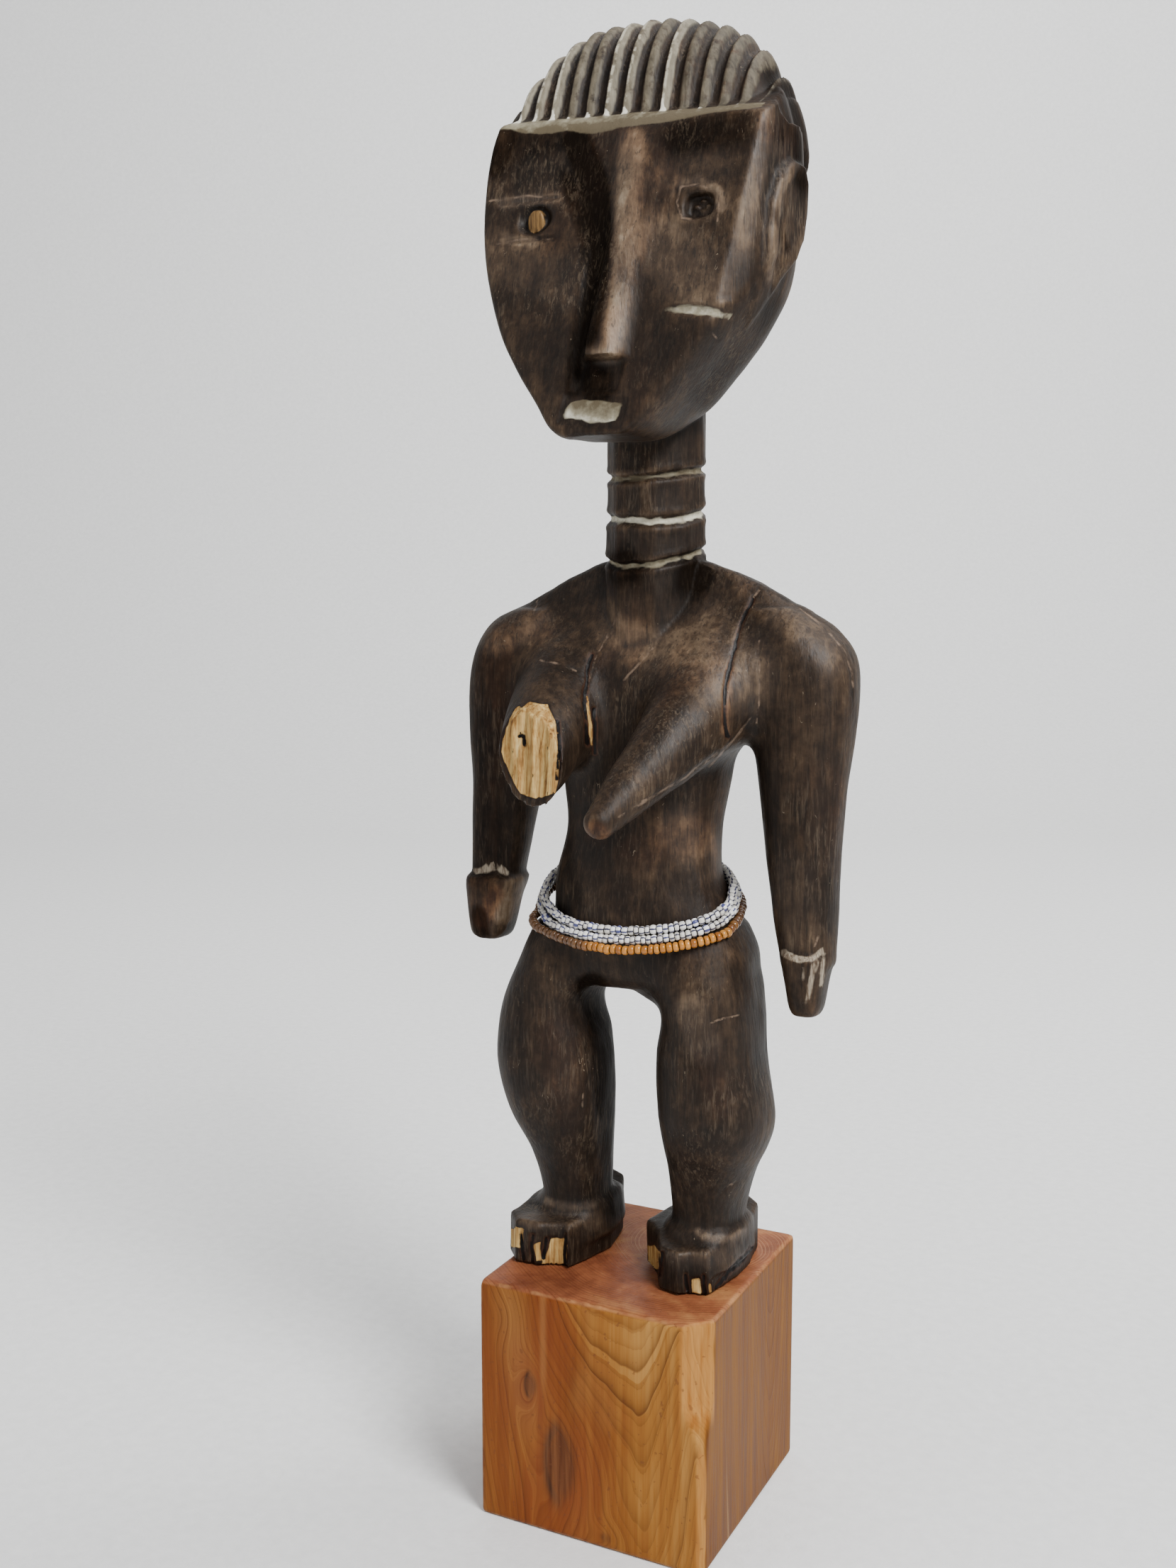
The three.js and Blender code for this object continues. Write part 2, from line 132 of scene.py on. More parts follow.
def loft(rows, p, cap=2.0):
    """A body of level ovals, in rows like the torso's."""
    x, y, z = p
    columns = (column.reshape(-1, 1, 1).astype(np.float32) for column in curve(rows, z[:, 0, 0]))
    cx, cy, half, front, back, square, square_back = columns
    dx, dy = x - cx, y - cy
    ahead = dy < 0
    reach = np.where(ahead, front, back)
    power = np.where(ahead, square, square_back)
    share = ((np.abs(dx) / half) ** power + (np.abs(dy) / reach) ** power) ** (1 / power)
    share = np.maximum(share, 0.02)
    away = np.sqrt(dx * dx + dy * dy)
    field = np.where(away > 0.3, away * (1 - 1 / share), -np.minimum(half, reach))
    low, high = rows[0][0], rows[-1][0]
    return blend_max(blend_max(field, z - high, cap), low - z, cap)


class Volume:
    """A grid of distances that shapes are joined to and cut from."""

    def __init__(self, low, high, step):
        self.low = np.array(low, float)
        self.step = step
        self.count = np.ceil((np.array(high) - self.low) / step).astype(int) + 1
        self.field = np.full(self.count[::-1], 30, np.float32)

    def part(self, low, high):
        a = np.clip(np.floor((np.array(low) - self.low) / self.step).astype(int), 0, self.count - 1)
        b = np.clip(np.ceil((np.array(high) - self.low) / self.step).astype(int) + 1, 1, self.count)
        cut = tuple(slice(a[i], b[i]) for i in (2, 1, 0))
        x, y, z = ((self.low[i] + self.step * np.arange(a[i], b[i])).astype(np.float32) for i in range(3))
        return cut, (x[None, None, :], y[None, :, None], z[:, None, None])

    def join(self, low, high, shape, k):
        cut, p = self.part(low, high)
        self.field[cut] = blend_min(self.field[cut], shape(p), k)

    def carve(self, low, high, shape, k):
        cut, p = self.part(low, high)
        self.field[cut] = blend_max(self.field[cut], -shape(p), k)


CORNERS = [(i & 1, i >> 1 & 1, i >> 2 & 1) for i in range(8)]
UNITS = ((0, 0, 1), (0, 1, 0), (1, 0, 0))
EDGES = [(a, b) for a in range(8) for b in range(a + 1, 8) if bin(a ^ b).count("1") == 1]


def skin_of(volume):
    """Points and four-sided faces on the surface where the field is zero."""
    f = volume.field
    inside = f < 0
    cells = np.array(f.shape) - 1
    total = np.zeros(cells, np.uint8)
    for cx, cy, cz in CORNERS:
        total += inside[cz:cz + cells[0], cy:cy + cells[1], cx:cx + cells[2]]
    k, j, i = np.nonzero((total > 0) & (total < 8))
    values = np.stack([f[k + cz, j + cy, i + cx] for cx, cy, cz in CORNERS], 1)
    corner = np.array(CORNERS, np.float32)
    place = np.zeros((len(i), 3), np.float32)
    hits = np.zeros(len(i), np.float32)
    for a, b in EDGES:
        va, vb = values[:, a], values[:, b]
        crossed = (va < 0) != (vb < 0)
        t = np.where(crossed, va / np.where(crossed, va - vb, 1), 0)
        place += crossed[:, None] * (corner[a] + t[:, None] * (corner[b] - corner[a]))
        hits += crossed
    points = (np.stack([i, j, k], 1) + place / hits[:, None]) * volume.step + volume.low
    number = np.full(cells, -1, np.int32)
    number[k, j, i] = np.arange(len(i))
    faces = []
    for axis in range(3):
        ahead, s, t = (UNITS[(axis + n) % 3] for n in range(3))
        a = inside[1:-1, 1:-1, 1:-1]
        b = inside[tuple(slice(1 + d, n - 1 + d) for d, n in zip(ahead, inside.shape))]
        k, j, i = np.nonzero(a != b)
        starts = a[k, j, i]
        around = []
        for u, w in ((0, 0), (1, 0), (1, 1), (0, 1)):
            dk, dj, di = (1 - u * s[n] - w * t[n] for n in range(3))
            around.append(number[k + dk, j + dj, i + di])
        quad = np.stack(around, 1)
        faces.append(np.where(starts[:, None], quad, quad[:, ::-1]))
    return points, np.concatenate(faces)


def round_cone(base, tip, wide, narrow, bend=1.0):
    """A cone with round ends; bend below 1 makes it slimmer soon after its base."""
    base, tip = np.array(base, float), np.array(tip, float)
    along = tip - base
    length = np.linalg.norm(along)
    along = along / length

    def shape(p):
        t = np.clip(sum((q - b) * a for q, b, a in zip(p, base, along)) / length, 0, 1)
        d = [q - b - a * t * length for q, b, a in zip(p, base, along)]
        return np.sqrt(sum(q ** 2 for q in d)) - (wide + (narrow - wide) * t ** bend)
    return shape


def outline_distance(outline, x, y):
    """Distance from a closed outline in the level plane, negative inside."""
    points = np.array(outline, float)
    best = np.full(np.broadcast(x, y).shape, 1e9)
    inside = np.zeros(best.shape, bool)
    for (ax, ay), (bx, by) in zip(points, np.roll(points, -1, 0)):
        ex, ey = bx - ax, by - ay
        t = np.clip(((x - ax) * ex + (y - ay) * ey) / (ex * ex + ey * ey), 0, 1)
        best = np.minimum(best, (x - ax - t * ex) ** 2 + (y - ay - t * ey) ** 2)
        crossing = (ay > y) != (by > y)
        rise = by - ay if by != ay else 1e-9
        inside ^= crossing & (x < (bx - ax) * (y - ay) / rise + ax)
    return np.where(inside, -1, 1) * np.sqrt(best)


# Head: the flat of the face leans back; everything carved on it is a height over that flat
HEAD_X = 0.7
LEAN = math.radians(15.5)
FACE = {"y": -19.6, "z": 305}
SKULL = [
    (263.4, HEAD_X, -18, 10, 17, 8, 3, 3),
    (267, HEAD_X, -15, 13.6, 20, 14, 3.2, 3),
    (272, HEAD_X, -10, 17.9, 24, 19, 3.4, 2.6),
    (279, HEAD_X, -6, 23.4, 27, 19, 3.6, 2.5),
    (288, HEAD_X, -3, 29.6, 28, 20, 3.8, 2.4),
    (299, HEAD_X, 0, 34.2, 28, 23, 4, 2.2),
    (312, HEAD_X, 1, 36.3, 28, 24, 4.4, 2),
    (325, HEAD_X, 1, 36.8, 27, 24, 4.6, 2),
    (334, HEAD_X, 1, 36.2, 25, 23, 4.4, 2),
    (345, HEAD_X, 1, 33, 20, 20, 4, 2),
]
HAIR_LOW = 300
HAIRLINE = {"z": 337.3, "tilt": 0.061, "back_y": -8.2}
BAND_X = [-36, -32, -26, -8, 6, 18, 30, 34]
BAND_TALL = [0.6, 1.4, 2.9, 3.7, 3.2, 2.2, 0.9, 0.4]
HAIR = {"x": -2.1, "y": 12.5, "z": 322, "half": 37.6, "front": 21.2, "back": 17, "top": 42.6,
        "square": 2.6, "tilt": 0.07, "pitch": 4.75, "ridge": 2.1, "first": -38.3}


def even_out(share, p):
    """A field with the same zero and a slope near one."""
    step = float(p[0][0, 0, 1] - p[0][0, 0, 0])
    slopes = np.gradient(share.astype(np.float32), step)
    return share / np.maximum(np.sqrt(sum(s * s for s in slopes)), 0.01)


def face_y(z):
    return FACE["y"] + (z - FACE["z"]) * math.tan(LEAN)


def on_face(u, v):
    """Where a pixel of the photograph falls on the flat of the face, as (x, z)."""
    aim = photo_ray(u, v)
    slope = math.tan(LEAN)
    t = (face_y(0) - (EYE_POINT[1] - slope * EYE_POINT[2])) / (aim[1] - slope * aim[2])
    hit = EYE_POINT + t * aim
    return hit[0], hit[2]


def across(pixels, z):
    """x at the heights z of a line through pixels of the face."""
    spots = sorted((on_face(u, v) for u, v in pixels), key=lambda s: s[1])
    return np.interp(z, [s[1] for s in spots], [s[0] for s in spots])


NOSE_EDGE = [(917, 172), (908, 195), (890, 240), (879, 280), (871, 330), (860, 370), (850, 425),
             (842, 465), (836, 500)]
PANEL_EDGE = [(780, 180), (785, 200), (797, 250), (812, 300), (827, 345), (829, 390), (821, 430),
              (815, 470), (809, 510), (806, 556)]
RIGHT_EYE = {"pixel": (754, 311), "half": (4.4, 3.5)}
LEFT_EYE = {"pixel": (986, 289), "half": (3.5, 2.8)}
LID_LINES = [(5.0, -22.5, 10), (-4.6, -20.5, 8)]
PEG = {"radius": 2.3, "squash": 0.88, "ahead": 2.2, "half": 2.0}
MOUTH = {"x": (-6.6, 8.0), "z": (265.9, 271.7), "turn": -0.13}
RECESS = {"x": (-5.4, 7.0), "z": (272.4, 280.6), "turn": -0.05}
SCAR = {"pixel": (985, 437), "half": (8.0, 1.35)}


def box_distance(x, z, box):
    """Distance from a turned box on the face, negative inside."""
    (left, right), (low, high) = box["x"], box["z"]
    dx, dz = x - (left + right) / 2, z - (low + high) / 2
    c, s = math.cos(box["turn"]), math.sin(box["turn"])
    return np.maximum(np.abs(dx * c + dz * s) - (right - left) / 2,
                      np.abs(dz * c - dx * s) - (high - low) / 2)


def scar_share(x, z):
    """How far a place is from the middle of the bent scar, 1 at its rim."""
    sx, sz = on_face(*SCAR["pixel"])
    half, tall = SCAR["half"]
    return np.hypot((x - sx) / half, (z - sz + 0.17 * (x - sx) + 0.006 * (x - sx) ** 2) / tall)


def nose_relief(x, z):
    """The nose, the valley beside it and the flat of the right cheek, and the share below the nose."""
    crest = across(NOSE_EDGE, z)
    panel = across(PANEL_EDGE, z)
    deep = np.interp(z, [262, 270, 276, 284, 300, 312, 324, 338], [0, 0.3, 1.2, 1.9, 2.3, 2.0, 1.3, 0.3])
    high = np.interp(z, [262, 281, 284, 300, 325, 338], [0.4, 3.9, 3.9, 2.3, 0.9, 0.2])
    share = np.clip((x - panel) / np.maximum(crest - panel, 1), 0, 1)
    valley = -deep * (1 - share ** 1.3) + high * share ** 2.4
    soft = np.interp(z, [275, 300, 320, 338], [1.6, 2.8, 4, 6])
    rise = smooth_step(x, panel - soft, panel + soft + 0.5)
    flat_top = np.interp(z, [281, 300, 330], [5.0, 2.0, 0.5])
    slope = np.interp(z, [281, 300, 330], [5, 10, 12])
    fall = high * (1 - smooth_step(x, crest + flat_top, crest + flat_top + slope))
    height = np.where(x < crest, valley * rise, fall)
    above = smooth_step(z + 0.03 * x, 279.9, 281.3)
    flat = np.where(x < crest, -deep * rise * (1 - share), 0)
    return height * above + flat * (1 - above), 1 - above


def mouth_relief(height, x, z, below_nose):
    """The step under the nose, and the flat mouth with a groove round it."""
    recess = box_distance(x, z, RECESS)
    height = height - 1.0 * (1 - smooth_step(recess, -1.6, 0.5)) * below_nose
    mouth = box_distance(x, z, MOUTH)
    return height - 0.5 * (1 - smooth_step(mouth, -0.7, 0.4)) - 0.5 * np.exp(-(mouth - 0.3) ** 2 / 0.16)


def right_eye_relief(height, x, z):
    """A round socket, for the peg, between two lid lines."""
    ex, ez = on_face(*RIGHT_EYE["pixel"])
    half, tall = RIGHT_EYE["half"]
    eye = np.hypot((x - ex) / half, (z - ez) / tall)
    height = height - 1.6 * (1 - smooth_step(eye, 0.66, 1.15))
    for lift, middle, reach in LID_LINES:
        line = (z - ez - lift + 0.02 * (x - ex)) ** 2 / 0.3
        height = height - 0.6 * np.exp(-line) * smooth_step(-np.abs(x - middle), -reach, -reach + 3)
    return height


def left_eye_relief(height, x, z):
    """A square socket whose peg is lost, with bits left in it."""
    ex, ez = on_face(*LEFT_EYE["pixel"])
    half, tall = LEFT_EYE["half"]
    hole = (np.abs((x - ex) / half) ** 3.4 + np.abs((z - ez) / tall) ** 3.4) ** (1 / 3.4)
    height = height - 2.0 * (1 - smooth_step(hole, 0.75, 1.12)) + 0.3 * np.exp(-(hole - 1.35) ** 2 / 0.05)
    bits = np.sin(2.1 * x + 1.3) * np.sin(2.4 * z + 0.4)
    return height + 1.2 * (1 - smooth_step(hole, 0.3, 0.85)) * np.maximum(bits, 0)


def face_relief(x, z):
    """Height in mm over the flat of the face."""
    height, below_nose = nose_relief(x, z)
    height = mouth_relief(height, x, z, below_nose)
    height = right_eye_relief(height, x, z)
    height = left_eye_relief(height, x, z)
    return height - 0.8 * (1 - smooth_step(scar_share(x, z), 0.55, 1.15))


def head(p):
    x, y, z = p
    skull = loft(SKULL, p, 3)
    skull = skull + 1.8 * smooth_step(z - hair_foot(x, y), -0.2, 0.9) * smooth_step(y, -9, -5)
    slope = math.cos(LEAN)
    relief = face_relief(x[:, 0, :], z[:, 0, :])[:, None, :].astype(np.float32)
    front = (face_y(z) - y) * slope - relief
    field = blend_max(skull, front, 1.6)
    # The left temple is cut back in two planes
    strip = 30.3 + 0.14 * (z - 310.6) + np.maximum(0, 292 - z) * 1.2
    field = blend_max(field, 0.757 * (x - strip) - 0.654 * (y - face_y(z)), 0.7)
    field = blend_max(field, 0.976 * (x - 34.2) - 0.22 * (y + 13), 0.9)
    # A bevelled band over the brow, below the hair
    ledge = HAIRLINE["z"] - HAIRLINE["tilt"] * (x - HEAD_X)
    low = ledge - np.interp(x, BAND_X, BAND_TALL)
    bevel = (z - low) * 0.57 - (y - face_y(low)) * 0.82
    field = blend_max(field, bevel, 0.5)
    return blend_max(field, (z - ledge) * 0.86 - (y - HAIRLINE["back_y"] + 0.5) * 0.5, 0.6)


def ridge_share(x):
    """Height of the hair over its grooves, from 0 to 1: each ridge is steep on the figure's right."""
    t = (x - HAIR["first"]) / HAIR["pitch"] % 1.0
    fall = 1 - 0.25 * smooth_step(t, 0.5, 0.8) - 0.75 * smooth_step(t, 0.78, 0.97)
    return np.maximum(np.where(t < 0.5, smooth_step(t, 0.2, 0.48), fall), smooth_step(x, 30.5, 33))


def hair_foot(x, y):
    """Height of the hair's lower edge, low behind the ears."""
    foot = HAIRLINE["z"] - 0.5 - HAIRLINE["tilt"] * (x - HEAD_X) - 0.45 * np.maximum(y + 8, 0)
    foot = foot - 1.5 * np.maximum(y - 7, 0)
    return np.maximum(foot, 306 + 0.02 * x * x)


def hair(p):
    x, y, z = p
    up = z + HAIR["tilt"] * (x - HAIR["x"]) - HAIR["z"]
    n = HAIR["square"]
    ahead = y - HAIR["y"]
    deep = np.abs(ahead) / np.where(ahead < 0, HAIR["front"], HAIR["back"])
    inner = np.minimum(deep, 0.998)
    narrow = np.sqrt(1 - np.where(ahead < 0, 0.12, 0.6) * inner ** 2)
    far = np.abs(x - HAIR["x"]) / HAIR["half"] / narrow
    far = far * (1 + np.where(x < 0, 0.07, 0) * smooth_step(y, -2, 14))
    rise = np.maximum(up, 0) / HAIR["top"] / np.sqrt(1 - inner ** 2)
    dome = even_out((far ** n + rise ** n) ** (1 / n) - 1, p)
    reach = np.where(ahead < 0, HAIR["front"], HAIR["back"])
    dome = blend_max(dome, (deep - 1) * reach + 0 * dome, 2)
    across_share = np.minimum(np.abs(x - HAIR["x"]) / HAIR["half"], 1)
    dome = dome + HAIR["ridge"] * (1 - ridge_share(x)) * (1 - 0.55 * across_share ** 4)
    return blend_max(dome, (hair_foot(x, y) - z) * 0.75, 0.7)


def ear(side):
    outline = [(-8.6, 320.5), (-3.2, 324.3), (2.2, 324), (4.0, 320.5), (3.6, 314), (1.8, 307.5),
               (-2.4, 301.3), (-7.2, 294.5), (-11.4, 288.0), (-12.9, 289.5), (-13.2, 298.8),
               (-13.0, 306), (-11.6, 313.9)]
    if side < 0:
        outline = [(y + 5, z) for y, z in outline]

    def shape(p):
        x, y, z = p
        flat = outline_distance(outline, *np.broadcast_arrays(y[:, :, 0], z[:, :, 0]))[:, :, None]
        out = side * (x - HEAD_X) - 0.16 * y
        rim = -(y + 11.5 - 0.005 * (z - 306) ** 2) + (5 if side < 0 else 0)
        groove = 1.5 * np.exp(-(rim + 3.4) ** 2 / 0.7) * smooth_step(out, 33, 36)
        dish = 0.5 * smooth_step(-flat, 2.2, 4.5) * smooth_step(out, 33, 36)
        middle = (34.0 if side > 0 else 33.0) - 0.4 * np.maximum(303 - z, 0)
        return blend_max(flat.astype(np.float32), np.abs(out - middle) - 3.9 + groove + dish, 1.1)
    return shape


# The neck, its grooves' heights, tilts in degrees and widths, and how strong the chalk in each is
NECK = {"x": 1.3, "y": 4, "radius": 12.0}
NECK_RINGS = [(257.7, 11, 1.5), (247.6, 11, 1.9), (238.4, 16, 1.5)]
NECK_CHALK = [0.42, 0.74, 0.5]


def ring_distance(height, tilt, dy, angle, z):
    """How far a place is above or below the wavy middle of one of the neck's grooves."""
    return np.abs(z - height - math.tan(math.radians(tilt)) * dy + 0.35 * np.sin(2 * angle + height))


def neck(p):
    x, y, z = p
    dx, dy = x - NECK["x"], y - NECK["y"]
    angle = np.arctan2(dy, dx)
    knife_facets = 0.22 * np.cos(9 * angle + 0.06 * z)
    field = np.hypot(dx, dy) - NECK["radius"] + knife_facets + 0.01 * (z - 240)
    for height, tilt, wide in NECK_RINGS:
        away = ring_distance(height, tilt, dy, angle, z)
        field = field + 1.15 * np.clip(1.3 - away / (0.62 * wide), 0, 1)
        field = field - 0.22 * np.exp(-(away - 1.1 * wide) ** 2 / 0.5)
    return blend_max(blend_max(field, z - 284, 1), 212 - z, 1)


# Level ovals: height, x, y, half width, reach to the front and back, squareness of both
TORSO = [
    (133.5, 0, -3, 22, 11, 15, 2.5, 2.5),
    (137, 0, -3, 27, 14, 18.5, 2.5, 2.5),
    (142, 0.9, -2, 28.3, 16, 20, 2.4, 2.4),
    (150, 2.1, -2, 23.8, 16.4, 17.5, 2.3, 2.3),
    (160, 0.2, -2, 21.2, 15.4, 13.8, 2.3, 2.3),
    (172, 0.9, -1, 19.6, 14.7, 12.6, 2.3, 2.3),
    (184, 1, 0, 20.9, 14.8, 13, 2.3, 2.3),
    (192, 1.2, 1, 22.4, 15.2, 14, 2.4, 2.4),
    (200, 1.5, 2.5, 28.6, 15.5, 15, 2.6, 2.6),
    (210, 1.5, 3.5, 44.5, 14.6, 14.5, 2.8, 2.7),
    (218, 1.5, 4, 44, 11.2, 13, 2.7, 2.6),
    (224, 1.5, 4, 38.5, 7.4, 12, 2.4, 2.4),
    (230, 1.5, 4, 28.5, 4.8, 11, 2.2, 2.2),
    (236.5, 1.5, 4, 14, 3.4, 9, 2, 2),
]


def arm_rows(side):
    left = side > 0
    wrist = 142 if left else 154
    thick = 1.08 if left else 0.96
    turn = 1.5 if left else 0
    rows = [
        (wrist, 41.2 + turn, -3, (6.4 - turn / 2) * thick, 6.4, 6.2),
        (wrist + 12, 40.4 + turn * 0.7, -2, (7.6 - turn / 2) * thick, 7.6, 7.4),
        (180, 39.8, 0, 9 * thick, 9.5, 9),
        (196, 39.4, 2, 10.8 * thick, 11.5, 11),
        (208, 38.8, 3.5, 11.6 * thick, 13, 12.5),
        (215, 37.2, 4, 11.6 * thick, 12.4, 11.8),
        (221, 34, 4, 10.6, 10, 10),
        (225, 30, 4, 8, 7, 7),
    ]
    return [(z, 1.4 + side * out, *rest, 2.3, 2.3) for z, out, *rest in rows]


# The figure's right is -1 and its left 1; rows without squareness get it from even()
HANDS = {
    -1: [(141.2, -40.3, -4.6, 3.6, 4.8, 4), (142.6, -40.4, -4.6, 4.7, 5.6, 4.8),
         (146, -40.2, -4.4, 5.6, 6.4, 5.4), (152, -39.9, -3.8, 6.5, 7.6, 6.4),
         (156.6, -39.5, -3, 7.2, 8.4, 7.2), (158, -39.3, -3, 6.2, 7, 6.4)],
    1: [(131, 44.6, -4.6, 3.0, 4.4, 3.6), (133, 44.5, -4.6, 3.8, 5.2, 4.4),
        (138, 44.3, -4, 4.6, 6.6, 5.4), (144.4, 44.1, -3.2, 5.6, 8, 6.8), (145.8, 44, -3, 5.0, 7, 6.4)],
}
LEGS = {
    -1: [(68, -18, -0.5, 8.2, 10, 9.5), (79, -18.2, -0.5, 8.2, 10.2, 10),
         (88, -18.9, -1.5, 9.5, 11.6, 12), (98, -20.6, -3.5, 12.1, 13.6, 15),
         (110, -22, -5, 13.9, 14.5, 15.5), (119, -22.5, -5, 13.5, 14.5, 16),
         (128, -22.6, -4.5, 11.8, 14.5, 15.6), (138, -17.8, -3.4, 12.4, 15.2, 16),
         (148, -15.4, -2.6, 10.6, 13, 15)],
    1: [(68, 18.6, -0.5, 8.4, 10, 9.5), (79, 18.6, -0.5, 8.7, 10.2, 10), (88, 19.7, -1.5, 10.2, 11.6, 12),
        (98, 21.7, -4, 12.9, 13.8, 15), (105, 22, -5, 13.6, 14.5, 15.5), (119, 20.4, -5, 12.4, 14.5, 17),
        (128, 20.4, -4.5, 11.6, 14.5, 18), (138, 17.6, -3.4, 12.8, 15.2, 17.4),
        (148, 15.8, -2.6, 10.8, 13, 15)],
}

# Height of the soles, and the feet's outlines from above
SOLE = 61.3
FEET = {
    -1: [(-31.4, -12.6), (-26.8, -17.8), (-21, -17.9), (-15, -15), (-13, -16), (-10.5, -7), (-9, 0),
         (-11, 12), (-14.5, 20), (-20, 23), (-26, 21), (-30, 12), (-31, 0)],
    1: [(2.6, -3.4), (8.2, -9), (12, -16.5), (17.5, -18), (20, -15.8), (24, -14.8), (26.6, -2.3),
        (26.8, 7), (24.6, 17), (20, 21), (13, 21.5), (8.5, 17), (4.5, 6)],
}


def even(rows, square=2.3):
    """Ovals that are equally square at the front and back."""
    return [row + (square, square) for row in rows]


def foot(side):
    def shape(p):
        x, y, z = p
        flat = outline_distance(FEET[side], *np.broadcast_arrays(x[0], y[0]))[None].astype(np.float32)
        top = SOLE + 11.6 + 0.05 * (y + 2)
        return blend_max(blend_max(flat, z - top, 1.6), SOLE - z, 0.5)
    return shape


def collar(side):
    """The swelling where the leg meets the foot."""
    ankle = [(SOLE + 5, side * 18.5, -side * 1.0, 10.6, 14, 14),
             (SOLE + 14, side * 18.5, -side * 1.0, 9.6, 10.8, 12)]
    return lambda p: loft(even(ankle, 2.4), p, 1.5)


def lost_breast(p):
    """The side where the right breast is broken off, splintered along the grain."""
    x, y, z = p
    splinter = 0.35 * np.sin(1.25 * x + 0.5 + 0.5 * np.sin(0.23 * z)) + 0.22 * np.sin(3.1 * x + 0.1 * z)
    return (y + 31.2) * 0.98 + (x + 13) * 0.17 - (z - 193) * 0.1 + splinter


def join_limbs(volume, side):
    """One arm with its hand, and one leg with its foot."""
    low, high = sorted((side * 20, side * 56))
    arm, hand, leg = arm_rows(side), even(HANDS[side], 2.7), even(LEGS[side])
    volume.join((low, -20, 138), (high, 24, 226), lambda p: loft(arm, p, 1.5), 2.6)
    volume.join((low, -18, 128), (high, 14, 162), lambda p: loft(hand, p, 0.8), 0.8)
    low, high = sorted((side * 0.5, side * 44))
    volume.join((min(low, -3), -30, 66), (max(high, 3), 26, 150), lambda p: loft(leg, p, 2), 3.2)
    volume.join((low - 2, -24, 60), (high + 2, 28, 76), foot(side), 1.2)
    volume.join((low - 2, -24, 60), (high + 2, 28, 80), collar(side), 2.2)


def join_breasts(volume):
    room = ((-42, -54, 165), (42, 14, 226))
    volume.join(*room, round_cone((21, -2, 206.5), (9.6, -43.6, 178.9), 13.2, 3.8, 1.0), 7)
    volume.join(*room, round_cone((-18.5, -3.5, 205), (-12.4, -43, 182), 13, 6.4, 1.2), 6)
    volume.carve((-30, -54, 170), (2, -22, 212), lost_breast, 0.5)


def join_head(volume):
    volume.join((-16, -12, 210), (18, 20, 290), neck, 0.5)
    volume.join((-42, -36, 260), (44, 34, 346), head, 0.8)
    volume.join((-42, -16, 300), (44, 36, 366), hair, 0.7)
    for side in (-1, 1):
        low, high = sorted((side * 28 + HEAD_X, side * 41 + HEAD_X))
        volume.join((low, -18, 284), (high, 12, 330), ear(side), 1.5)
    peg_x, peg_z = on_face(*RIGHT_EYE["pixel"])
    peg_y = face_y(peg_z) + PEG["ahead"]

    def peg(p):
        round_side = np.hypot(p[0] - peg_x, (p[2] - peg_z) * PEG["squash"]) - PEG["radius"]
        return blend_max(round_side, np.abs(p[1] - peg_y) - PEG["half"], 0.8)
    volume.join((peg_x - 5, peg_y - 5, peg_z - 5), (peg_x + 5, peg_y + 5, peg_z + 5), peg, 0.2)


def figure_volume():
    low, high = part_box("figure")
    volume = Volume([c / MM - 3 for c in low], [c / MM + 3 for c in high], STEP)
    volume.join((-40, -40, 130), (40, 30, 240), lambda p: loft(TORSO, p, 2), 0.1)
    for side in (-1, 1):
        join_limbs(volume, side)
    belly = round_cone((1, -6, 139.5), (13, -7.5, 132), 6.2, 5.2)
    volume.join((-12, -24, 120), (24, 14, 150), belly, 2)
    join_breasts(volume)
    join_head(volume)
    return volume


def point_normals(points, faces):
    corner = points[faces]
    out = np.cross(corner[:, 2] - corner[:, 0], corner[:, -1] - corner[:, 1])
    total = np.zeros((len(points), 3))
    for n in range(faces.shape[1]):
        for axis in range(3):
            total[:, axis] += np.bincount(faces[:, n], out[:, axis], len(points))
    return total / np.maximum(np.linalg.norm(total, axis=1), 1e-9)[:, None]


def lumps(points, seed, size):
    """Smooth noise from -1 to 1; size is how long a lump is along x, y and z, in mm."""
    table = np.random.default_rng(seed).uniform(-1, 1, (32, 32, 32))
    q = points / np.array(size, float) + 200
    cell = np.floor(q).astype(int)
    t = q - cell
    t = t * t * (3 - 2 * t)
    out = np.zeros(len(points))
    for cx, cy, cz in CORNERS:
        share = np.where((cx, cy, cz), t, 1 - t).prod(1)
        k = (cell + (cx, cy, cz)) % 32
        out += share * table[k[:, 0], k[:, 1], k[:, 2]]
    return out


# Marks of the carving as pixels of the photograph, put on the side that faces its camera.
# Each has the box, in mm, of the points that it may fall on.
ALL = ((-60, -60, 60), (60, 60, 370))
FRONT = ((-60, -60, 60), (60, 2, 362))
CHEST = ((-34, -60, 170), (50, 8, 228))
TOES = ((-36, -32, 60), (40, 6, 78))
STUMP = ((-34, -60, 170), (2, -24, 214))
STUMP_SIDE = ((-34, -60, 170), (10, -12, 222))

